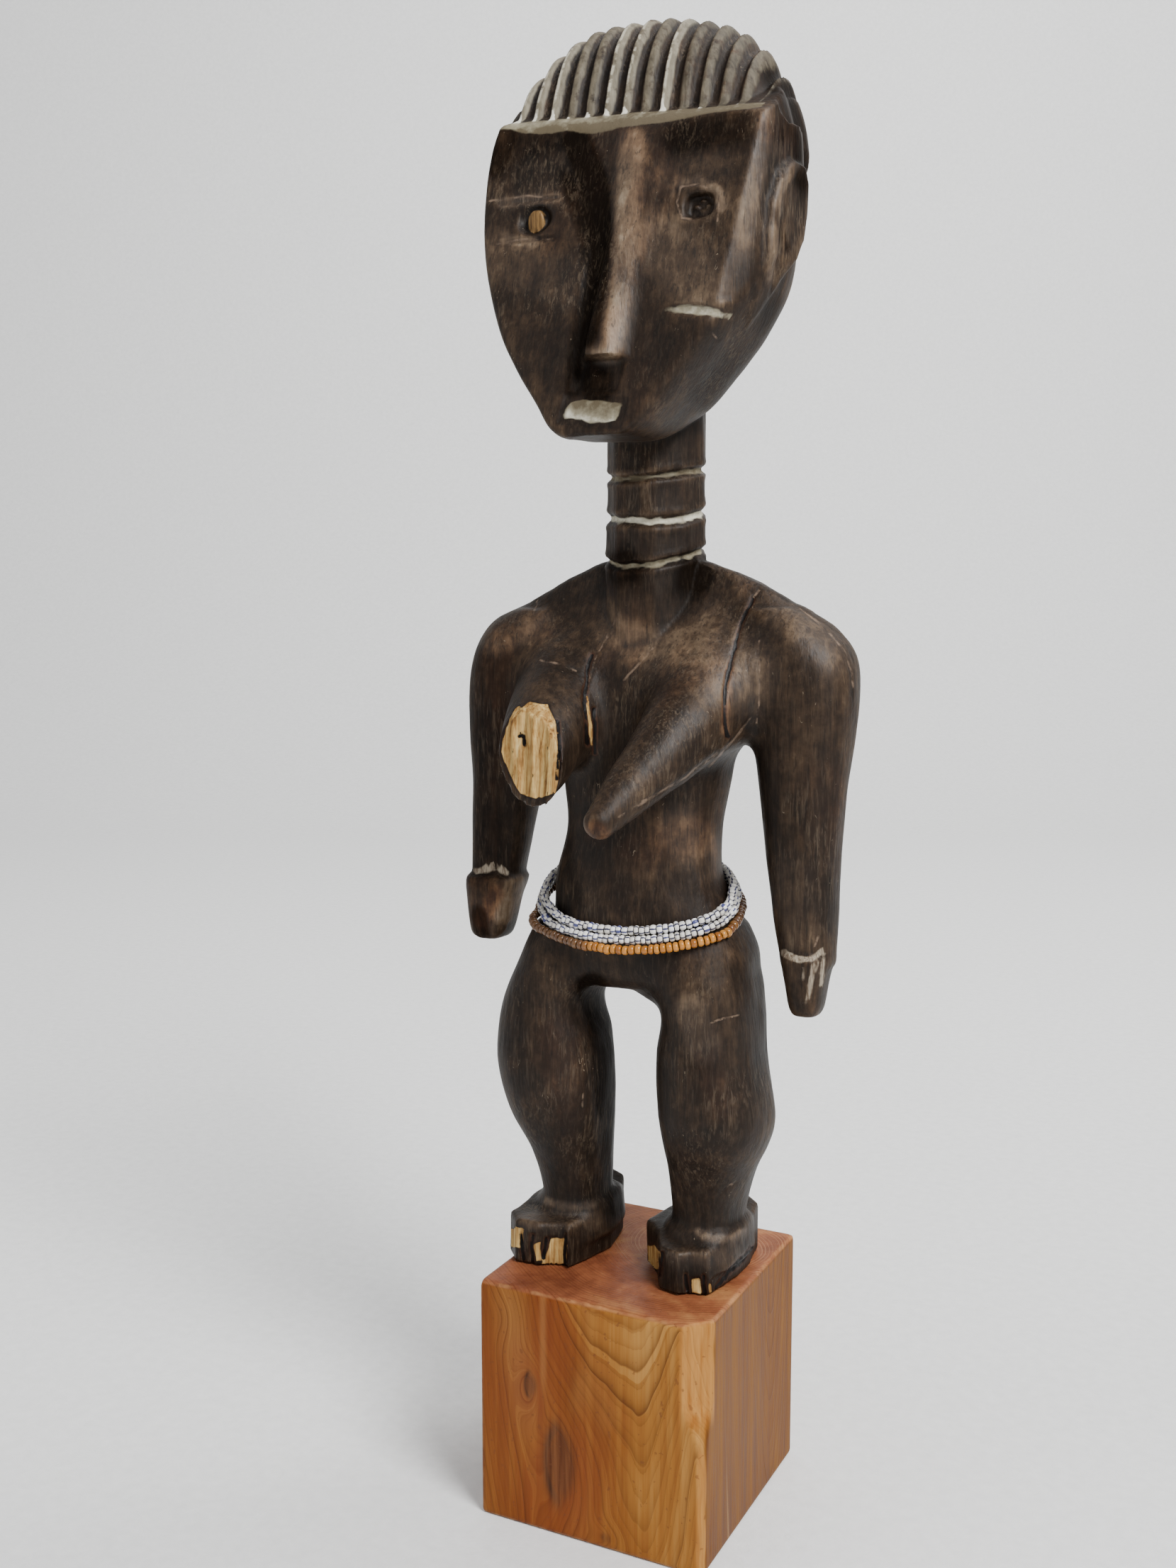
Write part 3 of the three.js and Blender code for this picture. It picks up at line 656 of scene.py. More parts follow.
# Bare wood, as outlines
PALE = [
    ([(747, 990), (775, 995), (788, 1030), (791, 1080), (784, 1118), (757, 1128), (735, 1120),
      (717, 1090), (707, 1060), (714, 1025), (729, 1000)], STUMP),
    ([(827, 978), (831, 985), (833, 1004), (836, 1030), (837, 1056), (832, 1050), (830, 1020),
      (828, 1000)], STUMP_SIDE),
    ([(721, 1735), (728, 1731), (741, 1735), (740, 1752), (735, 1763), (722, 1760)], TOES),
    ([(777, 1746), (795, 1744), (794, 1784), (790, 1787), (762, 1787), (770, 1770)], TOES),
    ([(754, 1756), (763, 1751), (765, 1778), (758, 1783)], TOES),
    ([(798, 1758), (801, 1753), (800, 1783), (797, 1786)], TOES),
    ([(912, 1756), (924, 1756), (932, 1768), (930, 1792), (912, 1784)], TOES),
    ([(975, 1803), (987, 1801), (989, 1824), (975, 1828)], TOES),
    ([(999, 1811), (1003, 1808), (1004, 1823), (1000, 1826)], TOES),
]

# Cracks and cuts, and finer lines
DARK_LINES = [
    ([(1062, 845), (1051, 868), (1040, 895), (1033, 920), (1027, 945), (1023, 980), (1022, 1020),
      (1027, 1040)], CHEST),
    ([(730, 1037), (737, 1036), (739, 1050)], CHEST),
    ([(787, 1018), (790, 1062), (785, 1098)], CHEST),
    ([(836, 925), (829, 948), (825, 985), (826, 1020), (829, 1050)], CHEST),
    ([(838, 1000), (840, 1030), (839, 1062)], CHEST),
    ([(736, 1742), (739, 1777)], TOES),
    ([(751, 1742), (752, 1782)], TOES),
    ([(771, 1748), (767, 1775)], TOES),
    ([(797, 1742), (796, 1790)], TOES),
    ([(933, 1766), (931, 1800)], TOES),
    ([(968, 1800), (970, 1828)], TOES),
    ([(992, 1800), (994, 1826)], TOES),
    ([(1062, 1760), (1030, 1795), (1010, 1818)], TOES),
]
FINE_LINES = [
    ([(877, 857), (860, 892), (840, 930), (829, 968)], CHEST),
    ([(1071, 887), (1072, 970), (1067, 1035)], CHEST),
    ([(1062, 845), (1075, 828), (1092, 822), (1120, 850), (1165, 887), (1190, 917), (1202, 950),
      (1203, 980)], FRONT),
    ([(765, 830), (757, 848), (752, 865)], FRONT),
    ([(762, 931), (790, 937), (812, 946)], CHEST),
    ([(905, 1130), (960, 1102), (1012, 1062)], CHEST),
    ([(872, 1152), (930, 1118)], CHEST),
    ([(1000, 1082), (1030, 1050), (1062, 1008)], CHEST),
    ([(880, 960), (930, 905)], CHEST),
    ([(1154, 1320), (1146, 1342)], FRONT),
    ([(1003, 1443), (1022, 1436), (1042, 1432)], FRONT),
    ([(1018, 1682), (1022, 1676), (1038, 1668)], FRONT),
    ([(823, 1540), (821, 1562)], FRONT),
    ([(1000, 465), (1012, 478)], FRONT),
    ([(690, 283), (745, 276), (772, 279)], FRONT),
    ([(700, 343), (740, 338), (780, 337)], FRONT),
    ([(962, 262), (985, 259), (1008, 270), (1015, 290), (1012, 312)], FRONT),
    ([(960, 262), (955, 285), (962, 308), (1000, 313)], FRONT),
]

# Chipped and chalky lines, with half their width in pixels
CHIPS = [
    ([(1105, 1343), (1112, 1349), (1128, 1354), (1145, 1354), (1158, 1345), (1172, 1338)], FRONT, 4.5),
    ([(1148, 1362), (1144, 1390), (1140, 1414)], FRONT, 3),
    ([(1163, 1352), (1158, 1392)], FRONT, 2.0),
    ([(1155, 1358), (1151, 1372)], FRONT, 1.6),
    ([(1134, 1366), (1132, 1382)], FRONT, 1.2),
    ([(672, 1228), (684, 1226), (697, 1223)], FRONT, 5),
    ([(708, 1226), (714, 1232)], FRONT, 4),
]

# Soft patches, with their reach in pixels and their strength: rubbed wood with painted highlights and
# sheen, painted shade, and reddish wood
# Rubbed wood, with painted highlights and sheen among it: along the nose's crest, on the collars of the
# feet and on the left thigh
RUBBED_AND_HIGHLIT = [
    ([(893, 200), (889, 250), (884, 300), (881, 350), (874, 410), (864, 470), (856, 498)], 22, 0.62),
    ([(1082, 165), (1073, 215), (1062, 270), (1052, 320), (1042, 370)], 14, 0.36),
    ([(709, 287), (745, 282), (786, 279)], 9, 0.5),
    ([(772, 1694), (790, 1702), (812, 1704), (835, 1700)], 7, 0.5),
    ([(985, 1738), (1005, 1748), (1030, 1748), (1050, 1738)], 7, 0.5),
    ([(745, 1722), (790, 1718), (840, 1722)], 15, 0.26),
    ([(955, 1770), (1000, 1775), (1040, 1770)], 15, 0.26),
    ([(712, 338), (752, 343)], 9, 0.45),
    ([(955, 258), (985, 254), (1012, 268), (1018, 292)], 9, 0.45),
    ([(700, 360), (800, 400)], 40, 0.2),
    ([(930, 250), (1010, 235)], 26, 0.18),
    ([(930, 340), (990, 400)], 50, 0.36),
    ([(900, 880), (985, 900), (1040, 950)], 60, 0.42),
    ([(880, 1140), (985, 1010)], 18, 0.14),
    ([(1110, 860), (1180, 920)], 36, 0.25),
    ([(700, 900), (760, 880)], 26, 0.3),
    ([(710, 1290), (730, 1250)], 17, 0.45),
    ([(1120, 1230), (1125, 1320)], 30, 0.14),
    ([(960, 1170), (1000, 1215)], 36, 0.3),
    ([(792, 1420), (800, 1530)], 26, 0.06),
    ([(978, 1425), (992, 1475)], 26, 0.42),
    ([(1120, 235), (1100, 270), (1090, 330), (1088, 390)], 8, 0.36),
]
# Painted shade: the valley beside the nose, under the band above the face, under the nose and the chin,
# and other places out of the light
PAINTED_SHADE = [
    ([(815, 200), (838, 260), (848, 330), (843, 400), (832, 470)], 22, 0.6),
    ([(715, 190), (700, 230)], 24, 0.4),
    ([(842, 530), (842, 550)], 26, 0.4),
    ([(1085, 180), (1105, 190)], 14, 0.3),
    ([(675, 1290), (680, 1320)], 12, 0.5),
    ([(1095, 300), (1110, 350)], 6, 0.3),
    ([(800, 1270), (780, 1180)], 26, 0.25),
    ([(960, 195), (1040, 180)], 30, 0.3),
    ([(800, 250), (815, 300), (829, 345), (831, 390), (823, 430), (817, 470), (811, 515), (808, 550)],
     13, 0.34),
    ([(880, 800), (890, 846), (930, 862), (970, 846), (985, 800)], 30, 0.42),
    ([(1000, 1440), (985, 1500)], 20, 0.1),
    ([(780, 195), (700, 215)], 24, 0.25),
    ([(690, 900), (670, 1050), (680, 1220)], 50, 0.22),
]
# Painted shade that also falls on points behind the front: the hair's side, the inner side of the right
# leg and the jaw
PAINTED_SHADE_BEHIND = [
    ([(1095, 105), (1120, 150), (1135, 200), (1138, 250)], 26, 0.36),
    ([(835, 1395), (850, 1440), (858, 1500), (862, 1560)], 24, 0.6),
    ([(862, 1560), (870, 1700)], 22, 0.35),
    ([(1000, 560), (1060, 500), (1100, 440)], 30, 0.2),
]
RUST = [
    ([(838, 1170), (848, 1174)], 13, 0.9),
    ([(868, 440), (858, 480)], 12, 0.22),
    ([(795, 1460), (800, 1560)], 30, 0.3),
    ([(1000, 1500), (1015, 1560)], 22, 0.3),
    ([(1085, 175), (1110, 210)], 20, 0.3),
    ([(900, 1200), (980, 1180)], 34, 0.3),
    ([(680, 1300), (700, 1260)], 12, 0.8),
    ([(1030, 945), (1022, 1030)], 7, 0.5),
    ([(700, 1000), (705, 1100)], 20, 0.25),
]

# How many mm of the figure a pixel shows, and the distance given to what is far from every mark
PIXEL = 0.16
FAR = 20.0


def line_pixels(places, pixels):
    best = np.full(len(places), 1e9)
    for a, b in zip(np.array(pixels[:-1], float), np.array(pixels[1:], float)):
        along = b - a
        t = np.clip((places - a) @ along / max(along @ along, 1e-9), 0, 1)
        best = np.minimum(best, np.linalg.norm(places - a - t[:, None] * along, axis=1))
    return best


class Skin:
    """Points of the figure, where the camera sees them and how much they face it."""

    def __init__(self, points, normals):
        self.points = points
        self.places = photo_place(points)
        ray = EYE_POINT - points
        self.slant = (ray * normals).sum(1) / np.linalg.norm(ray, axis=1)
        self.facing = self.slant > 0

    def seen(self, box):
        return self.facing & (self.points >= box[0]).all(1) & (self.points <= box[1]).all(1)

    def nearest(self, marks, closed=False, spread=1.0):
        """Distance in mm to the nearest of the marks, negative inside a closed one."""
        best = np.full(len(self.points), FAR)
        wobble = lumps(self.points, 41, (3, 3, 5)) * 2.2 + lumps(self.points, 42, (1.1, 1.1, 2)) * 1.2
        for mark in marks:
            at = np.nonzero(self.seen(mark[1]))[0]
            places = self.places[at] + spread * wobble[at, None]
            if closed:
                far = outline_distance(mark[0], places[:, 0], places[:, 1])
            else:
                far = line_pixels(places, mark[0]) - (mark[2] if len(mark) > 2 else 0)
            best[at] = np.minimum(best[at], far * PIXEL)
        return best

    def glow(self, patches, box=FRONT):
        """The strength of the soft patches on the points in a box."""
        at = np.nonzero(self.seen(box))[0]
        facing = smooth_step(self.slant[at], 0, 0.3)
        total = np.zeros(len(self.points))
        for pixels, reach, strength in patches:
            far = line_pixels(self.places[at], pixels) / reach
            total[at] = np.maximum(total[at], strength * facing * (1 - smooth_step(far, 0.45, 1.3)))
        return total


def weathered(points, faces):
    """The skin moved along its normals: hand-cut unevenness, open grain, cracks and splinters."""
    normals = point_normals(points, faces)
    skin = Skin(points, normals)
    x, y, z = points.T
    on_hair = smooth_step(z - hair_foot(x, y), -1, 1) * (z > HAIR_LOW)
    above_chin = smooth_step(z, 258, 266)
    calm = 1 - 0.35 * on_hair - 0.3 * above_chin * (1 - on_hair)
    move = calm * (0.34 * lumps(points, 11, (9, 9, 14)) + 0.16 * lumps(points, 12, (4.5, 4.5, 8)))
    grain = 0.055 * lumps(points, 13, (1.7, 1.7, 11)) + 0.03 * lumps(points, 14, (1.0, 1.0, 5))
    move += (1 - 0.6 * above_chin) * grain
    dark = skin.nearest(DARK_LINES, spread=0.9)
    move -= 0.6 * np.exp(-(dark / 0.4) ** 2)
    fine = skin.nearest(FINE_LINES, spread=0.5)
    move -= 0.14 * np.exp(-(fine / 0.4) ** 2)
    pale = skin.nearest(PALE, closed=True)
    near_rim = np.abs(box_distance(x, z, MOUTH)) < 1.2
    for eye in (RIGHT_EYE, LEFT_EYE):
        ex, ez = on_face(*eye["pixel"])
        near_rim |= np.hypot(x - ex, z - ez) < 6.5
    keep = (dark < 1.5) | (fine < 0.8) | (np.abs(pale) < 1.1)
    keep |= near_rim & (y < face_y(z) + 6) & (z > 262) & (z < 330)
    splinters = lumps(points, 15, (1.3, 1.3, 16)) * 0.3 + lumps(points, 16, (0.8, 0.8, 7)) * 0.12
    move += np.where(pale < 0, splinters - 0.25, 0)
    return points + normals * move[:, None], keep


def mesh_object(name, points, faces):
    """A smooth mesh from points in millimetres."""
    mesh = bpy.data.meshes.new(name)
    mesh.vertices.add(len(points))
    mesh.vertices.foreach_set("co", (points * MM).astype(np.float32).ravel())
    sides = faces.shape[1]
    mesh.loops.add(len(faces) * sides)
    mesh.loops.foreach_set("vertex_index", faces.astype(np.int32).ravel())
    mesh.polygons.add(len(faces))
    mesh.polygons.foreach_set("loop_start", np.arange(0, len(faces) * sides, sides, dtype=np.int32))
    mesh.polygons.foreach_set("use_smooth", np.ones(len(faces), bool))
    mesh.update(calc_edges=True)
    piece = bpy.data.objects.new(name, mesh)
    bpy.context.scene.collection.objects.link(piece)
    return piece


def thin_out(piece, share, keep=None):
    """Fewer triangles where the surface is flat; the points to keep stay as they are."""
    modifier = piece.modifiers.new("thin_out", "DECIMATE")
    modifier.ratio = share
    if keep is not None:
        group = piece.vertex_groups.new(name="fine")
        group.add(np.nonzero(keep)[0].tolist(), 1.0, "REPLACE")
        modifier.vertex_group = "fine"
        modifier.invert_vertex_group = True
    shown = piece.evaluated_get(bpy.context.evaluated_depsgraph_get())
    mesh = bpy.data.meshes.new_from_object(shown)
    piece.modifiers.clear()
    piece.vertex_groups.clear()
    old = piece.data
    piece.data = mesh
    bpy.data.meshes.remove(old)
    mesh.name = piece.name
    mesh.polygons.foreach_set("use_smooth", np.ones(len(mesh.polygons), bool))


def read_points(mesh):
    points = np.empty(len(mesh.vertices) * 3, np.float32)
    mesh.vertices.foreach_get("co", points)
    normals = np.empty(len(mesh.vertices) * 3, np.float32)
    mesh.vertex_normals.foreach_get("vector", normals)
    return points.reshape(-1, 3).astype(float) / MM, normals.reshape(-1, 3).astype(float)


def bulge(mesh, points, normals, rounds):
    """How far each point stands out of a smoothed copy of the mesh, in mm."""
    edges = np.empty(len(mesh.edges) * 2, np.int32)
    mesh.edges.foreach_get("vertices", edges)
    a, b = edges.reshape(-1, 2).T
    count = np.maximum(np.bincount(a, minlength=len(points)) + np.bincount(b, minlength=len(points)), 1)
    soft = points.copy()
    for _ in range(rounds):
        total = [np.bincount(a, soft[b, k], len(points)) + np.bincount(b, soft[a, k], len(points))
                 for k in range(3)]
        soft = np.stack(total, 1) / count[:, None]
    return ((points - soft) * normals).sum(1)


def add_number(mesh, name, values):
    layer = mesh.attributes.new(name, "FLOAT", "POINT")
    layer.data.foreach_set("value", np.asarray(values, np.float32))


def band_chalk(x, y, z, normals, points):
    """The chalk on the band above the face: distance and strength."""
    ledge = HAIRLINE["z"] - HAIRLINE["tilt"] * (x - HEAD_X)
    low = ledge - np.interp(x, BAND_X, BAND_TALL) + 0.5 * lumps(points, 21, (5, 5, 5))
    band = np.maximum(low - z, z - ledge - 0.8)
    full = np.interp(x, [-36, -14, 2, 12, 24, 33], [0.55, 0.46, 0.4, 0.3, 0.3, 0.4])
    shown = (y < -6) & (normals[:, 1] < 0.2) & (x < 33)
    return np.where(shown, band, FAR), full - 0.22 * smooth_step(ledge - z, 0.4, 2.4)


def ring_chalk(x, y, z, points):
    """The chalk in the neck's grooves."""
    dx, dy = x - NECK["x"], y - NECK["y"]
    angle = np.arctan2(dy, dx)
    on_neck = np.hypot(dx, dy) < 15
    for (height, tilt, wide), strength in zip(NECK_RINGS, NECK_CHALK):
        away = ring_distance(height, tilt, dy, angle, z)
        ring = away - 0.36 * wide + 0.42 * lumps(points, 22, (2.2, 2.2, 1.5))
        yield np.where(on_neck, ring, FAR), strength


def mouth_chalk(x, z, on_front, points):
    """The chalk on the mouth, round at its corners, thicker and paler below, and darker at its top, where
    shade is painted under the upper rim of the mouth's recess.
    """
    mouth = box_distance(x, z, MOUTH) + 0.45 * lumps(points, 23, (2.4, 2.4, 1.6))
    corner = np.abs((x - 0.7) / 7.2) ** 3 * np.abs((z - 268.8) / 2.9) ** 3 * 3.6
    # Paler towards the lower rim: thicker chalk there, and painted shade at the top
    low_rim = smooth_step(268.8 - z - 0.13 * x, -1.6, 1.8)
    return np.where(on_front, mouth + 0.4 + corner, FAR), 0.36 + 0.3 * low_rim


def mark_figure(mesh):
    """Numbers on the figure's points that its material reads."""
    points, normals = read_points(mesh)
    skin = Skin(points, normals)
    x, y, z = points.T
    add_number(mesh, "pale_far", skin.nearest(PALE, closed=True))
    add_number(mesh, "crack_far", skin.nearest(DARK_LINES, spread=0.9))
    add_number(mesh, "line_far", skin.nearest(FINE_LINES, spread=0.5))
    add_number(mesh, "chip_far", skin.nearest(CHIPS, spread=0.8))
    # Rubbed wood and painted highlights raise this number, painted shade lowers it
    deep = np.maximum(skin.glow(PAINTED_SHADE), skin.glow(PAINTED_SHADE_BEHIND, ALL))
    add_number(mesh, "rub_and_painted_light", skin.glow(RUBBED_AND_HIGHLIT) - deep)
    add_number(mesh, "rust", skin.glow(RUST))
    hair_high = z - hair_foot(x, y)
    on_hair = (z > HAIR_LOW) & (hair_high > -0.6)
    add_number(mesh, "hair_high", np.where(on_hair, hair_high, -FAR))
    add_number(mesh, "hair_back", np.where(on_hair, y, 30))
    add_number(mesh, "edge", bulge(mesh, points, normals, 10))
    on_front = (y - face_y(z) < 5) & (z < 330) & (z > 262)
    scar = (scar_share(x, z) - 0.78) * 1.5 + 0.3 * lumps(points, 24, (1.6, 1.6, 1))
    chalk = [band_chalk(x, y, z, normals, points), *ring_chalk(x, y, z, points),
             mouth_chalk(x, z, on_front, points), (np.where(on_front, scar, FAR), 0.62)]
    far = np.full(len(points), FAR)
    whole = np.zeros(len(points))
    for distance, strength in chalk:
        whole = np.where(distance < far, strength, whole)
        far = np.minimum(far, distance)
    add_number(mesh, "chalk_far", far)
    add_number(mesh, "chalk_full", whole)
    ex, ez = on_face(*RIGHT_EYE["pixel"])
    peg = np.hypot(x - ex, (z - ez) * PEG["squash"]) + 0.25 * lumps(points, 25, (1.6, 1.6, 1.6))
    add_number(mesh, "peg_far", np.where(on_front, peg, FAR))


def math_node(kind, swapped=False):
    """A method of Value that adds one math node."""
    def method(self, other=0.0):
        node = self.paint.nodes.new("ShaderNodeMath")
        node.operation = kind
        for socket, value in zip(node.inputs, (other, self) if swapped else (self, other)):
            self.paint.put(socket, value)
        return Value(self.paint, node.outputs[0])
    return method


class Value:
    """What a node gives out; numbers can be worked with like plain ones."""

    def __init__(self, paint, socket):
        self.paint = paint
        self.socket = socket

    __add__ = math_node("ADD")
    __radd__ = math_node("ADD", swapped=True)
    __sub__ = math_node("SUBTRACT")
    __mul__ = math_node("MULTIPLY")
    __truediv__ = math_node("DIVIDE")
    __pow__ = math_node("POWER")
    __abs__ = math_node("ABSOLUTE")
    at_least = math_node("MAXIMUM")
    at_most = math_node("MINIMUM")
    fraction = math_node("FRACT")
    floor = math_node("FLOOR")
    sine = math_node("SINE")
    root = math_node("SQRT")
    exp = math_node("EXPONENT")

    def clamped(self):
        self.socket.node.use_clamp = True
        return self

    def lot(self, turn):
        """A number from 0 to 1 drawn for each whole number."""
        return ((self * turn).sine() * 43.758).fraction()


class Paint:
    """A material's nodes, made with short calls; its colour is laid on in layers."""

    def __init__(self, name, roughness=0.5, specular=0.5):
        self.material = bpy.data.materials.new(name)
        self.material.use_nodes = True
        self.nodes = self.material.node_tree.nodes
        self.shader = self.nodes["Principled BSDF"]
        self.set("Roughness", roughness)
        self.set("Specular IOR Level", specular)
        self.place = Value(self, self.nodes.new("ShaderNodeTexCoord").outputs["Object"])
        self.color = (0, 0, 0)

    def put(self, socket, value):
        if isinstance(value, Value):
            self.material.node_tree.links.new(value.socket, socket)
        elif isinstance(value, tuple) and len(socket.default_value) == 4:
            socket.default_value = (*value, 1)
        else:
            socket.default_value = value

    def set(self, name, value):
        self.put(self.shader.inputs[name], value)

    def node(self, kind, **inputs):
        """A node with its inputs, whose names are written with _ for a space."""
        node = self.nodes.new("ShaderNode" + kind)
        for name, value in inputs.items():
            self.put(node.inputs[name.replace("_", " ")], value)
        return node

    def between(self, value, low, high):
        """0 below low, 1 above high, smooth between them; low may be the larger."""
        flip = low > high
        node = self.node("MapRange", Value=value, From_Min=min(low, high), From_Max=max(low, high),
                         To_Min=1.0 if flip else 0.0, To_Max=0.0 if flip else 1.0)
        node.interpolation_type = "SMOOTHSTEP"
        return Value(self, node.outputs[0])

    def stretch(self, size, turn=(0, 0, 0)):
        node = self.node("Mapping", Vector=self.place, Scale=size, Rotation=turn)
        return Value(self, node.outputs[0])

    def noise(self, size, detail=3.0, rough=0.55, warp=0.0, where=None):
        node = self.node("TexNoise", Vector=where or self.place, Scale=size, Detail=detail,
                         Roughness=rough, Distortion=warp)
        return Value(self, node.outputs[0])

    def ramp(self, value, stops):
        node = self.node("ValToRGB", Fac=value)
        spots = node.color_ramp.elements
        while len(spots) < len(stops):
            spots.new(0.5)
        for spot, (place, color) in zip(spots, stops):
            spot.position = place
            spot.color = (*color, 1)
        return Value(self, node.outputs[0])

    def mix(self, share, a, b):
        node = self.nodes.new("ShaderNodeMix")
        node.data_type = "RGBA"
        for index, value in ((0, share), (6, a), (7, b)):
            self.put(node.inputs[index], value)
        return Value(self, node.outputs[2])

    def cover(self, share, color):
        """Lay another colour over the ones so far."""
        self.color = self.mix(share, self.color, color)

    def number(self, name):
        node = self.nodes.new("ShaderNodeAttribute")
        node.attribute_name = name
        return Value(self, node.outputs["Fac"])

    def axes(self):
        return [Value(self, out) for out in self.node("SeparateXYZ", Vector=self.place).outputs]

    def round_and_along(self):
        node = self.nodes.new("ShaderNodeUVMap")
        node.uv_map = "round_and_along"
        parts = self.node("SeparateXYZ", Vector=Value(self, node.outputs[0]))
        return [Value(self, out) for out in parts.outputs[:2]]

    def bump(self, height, depth, strength, under=None):
        node = self.node("Bump", Strength=strength, Distance=depth, Height=height)
        if under:
            self.put(node.inputs["Normal"], under)
        return Value(self, node.outputs[0])


PALE_FIBRE = (0.27, 0.21, 0.145)


def dark_wood():
    paint = Paint("dark_wood", specular=0.2)
    noise, between, number = paint.noise, paint.between, paint.number
    streaks = noise(700, 5, 0.62, 0.4, paint.stretch((1, 1, 0.075)))
    wide_streaks = noise(190, 3, 0.55, 0.6, paint.stretch((1, 1, 0.16)))
    blotches = noise(70, 4, 0.6, 0.5)
    clouds = noise(28, 2, 0.5)
    pores = noise(1500, 2, 0.5, 0, paint.stretch((1, 1, 0.1)))
    soft = noise(260, 3, 0.6)
    patchy = noise(330, 3, 0.65)
    level = streaks * 0.4 + blotches * 0.52
    level += (noise(420, 3, 0.65) - 0.5) * 0.26
    level += wide_streaks * 0.22
    level += clouds * 0.16
    # Rubbed wood and painted highlights make the wood lighter, painted shade makes it darker
    level += number("rub_and_painted_light") * 0.42
    level += between(number("edge"), -0.5, 0.75) * 0.22
    level -= 0.3 + between(paint.axes()[2], 0.15, 0.12) * 0.06
    paint.color = paint.ramp(level, [(0.26, (0.005, 0.003, 0.0018)), (0.44, (0.015, 0.0085, 0.0048)),
                                     (0.58, (0.038, 0.0225, 0.0125)), (0.74, (0.11, 0.072, 0.042)),
                                     (0.95, PALE_FIBRE)])
    red = noise(45, 3, 0.6, 0.3, paint.stretch((1, 1, 0.35)))
    rust = (between(red, 0.52, 0.72) * 0.28 + number("rust") * 0.75).clamped()
    rusty = [(0.2, (0.009, 0.004, 0.0025)), (0.5, (0.04, 0.017, 0.009)), (0.9, (0.36, 0.17, 0.07))]
    paint.cover(rust, paint.ramp(level, rusty))
    fibres = rubbed_fibres(paint, pores)
    cut_lines(paint, soft, fibres)
    hair_chalk(paint, streaks, patchy)
    chalk = rubbed_chalk(paint, patchy)
    fibre = noise(900, 4, 0.7, 0.3, paint.stretch((1, 1, 0.06)))
    pale = bare_wood(paint, soft, fibre)
    eye_peg(paint, fibre)
    paint.set("Base Color", paint.color)
    # Specular level: higher on rubbed wood and painted highlights, lower in the painted shade
    sheen = 0.17 + number("rub_and_painted_light") * 0.4
    paint.set("Specular IOR Level", sheen.at_least(0.03).at_most(0.45))
    rough = (streaks + blotches) * 0.22 + 0.32
    rough -= between(number("edge"), 0.0, 0.7) * 0.06
    rough = rough.at_least(between(pale, 0.1, -0.1) * 0.8)
    paint.set("Roughness", rough.at_least(chalk * 0.85))
    grain = paint.bump(streaks * 0.6 + pores * 0.4, 0.0004, 0.55)
    paint.set("Normal", paint.bump(blotches, 0.0012, 0.35, grain))
    return paint.material


def rubbed_fibres(paint, pores):
    """Rubbed fibres, small pale nicks and dark pores."""
    noise, between = paint.noise, paint.between
    fibres = noise(1300, 3, 0.7, 0.8, paint.stretch((1, 1, 0.13)))
    patches = between(noise(60, 2, 0.5), 0.44, 0.66)
    rubbed = between(fibres, 0.46, 0.7) * (patches * 0.38 + 0.08)
    # More rubbed fibres on rubbed wood and painted highlights, fewer in the painted shade
    more = 1.0 + paint.number("rub_and_painted_light") * 0.9
    paint.cover((rubbed * more).clamped(), (0.12, 0.088, 0.058))
    nicks = noise(1250, 2, 0.5, 1.5, paint.stretch((1, 1, 0.45), (0.5, 0.3, 0)))
    nicks = between(nicks, 0.7, 0.75) * between(noise(120, 2), 0.5, 0.62)
    paint.cover(nicks * 0.45, PALE_FIBRE)
    paint.cover(between(pores, 0.4, 0.33) * 0.5, (0.006, 0.004, 0.003))
    return fibres


def cut_lines(paint, soft, fibres):
    """Fine lines, and chips that show paler wood."""
    between, number = paint.between, paint.number
    line = between(number("line_far"), 0.36, 0.08) * between(soft, 0.42, 0.6)
    paint.cover(line * 0.6, (0.21, 0.145, 0.1))
    chip = between(number("chip_far") + soft * 1.2, 0.85, 0.35) * 0.8
    paint.cover(chip, paint.ramp(fibres, [(0.35, (0.11, 0.075, 0.05)), (0.65, (0.42, 0.36, 0.27))]))


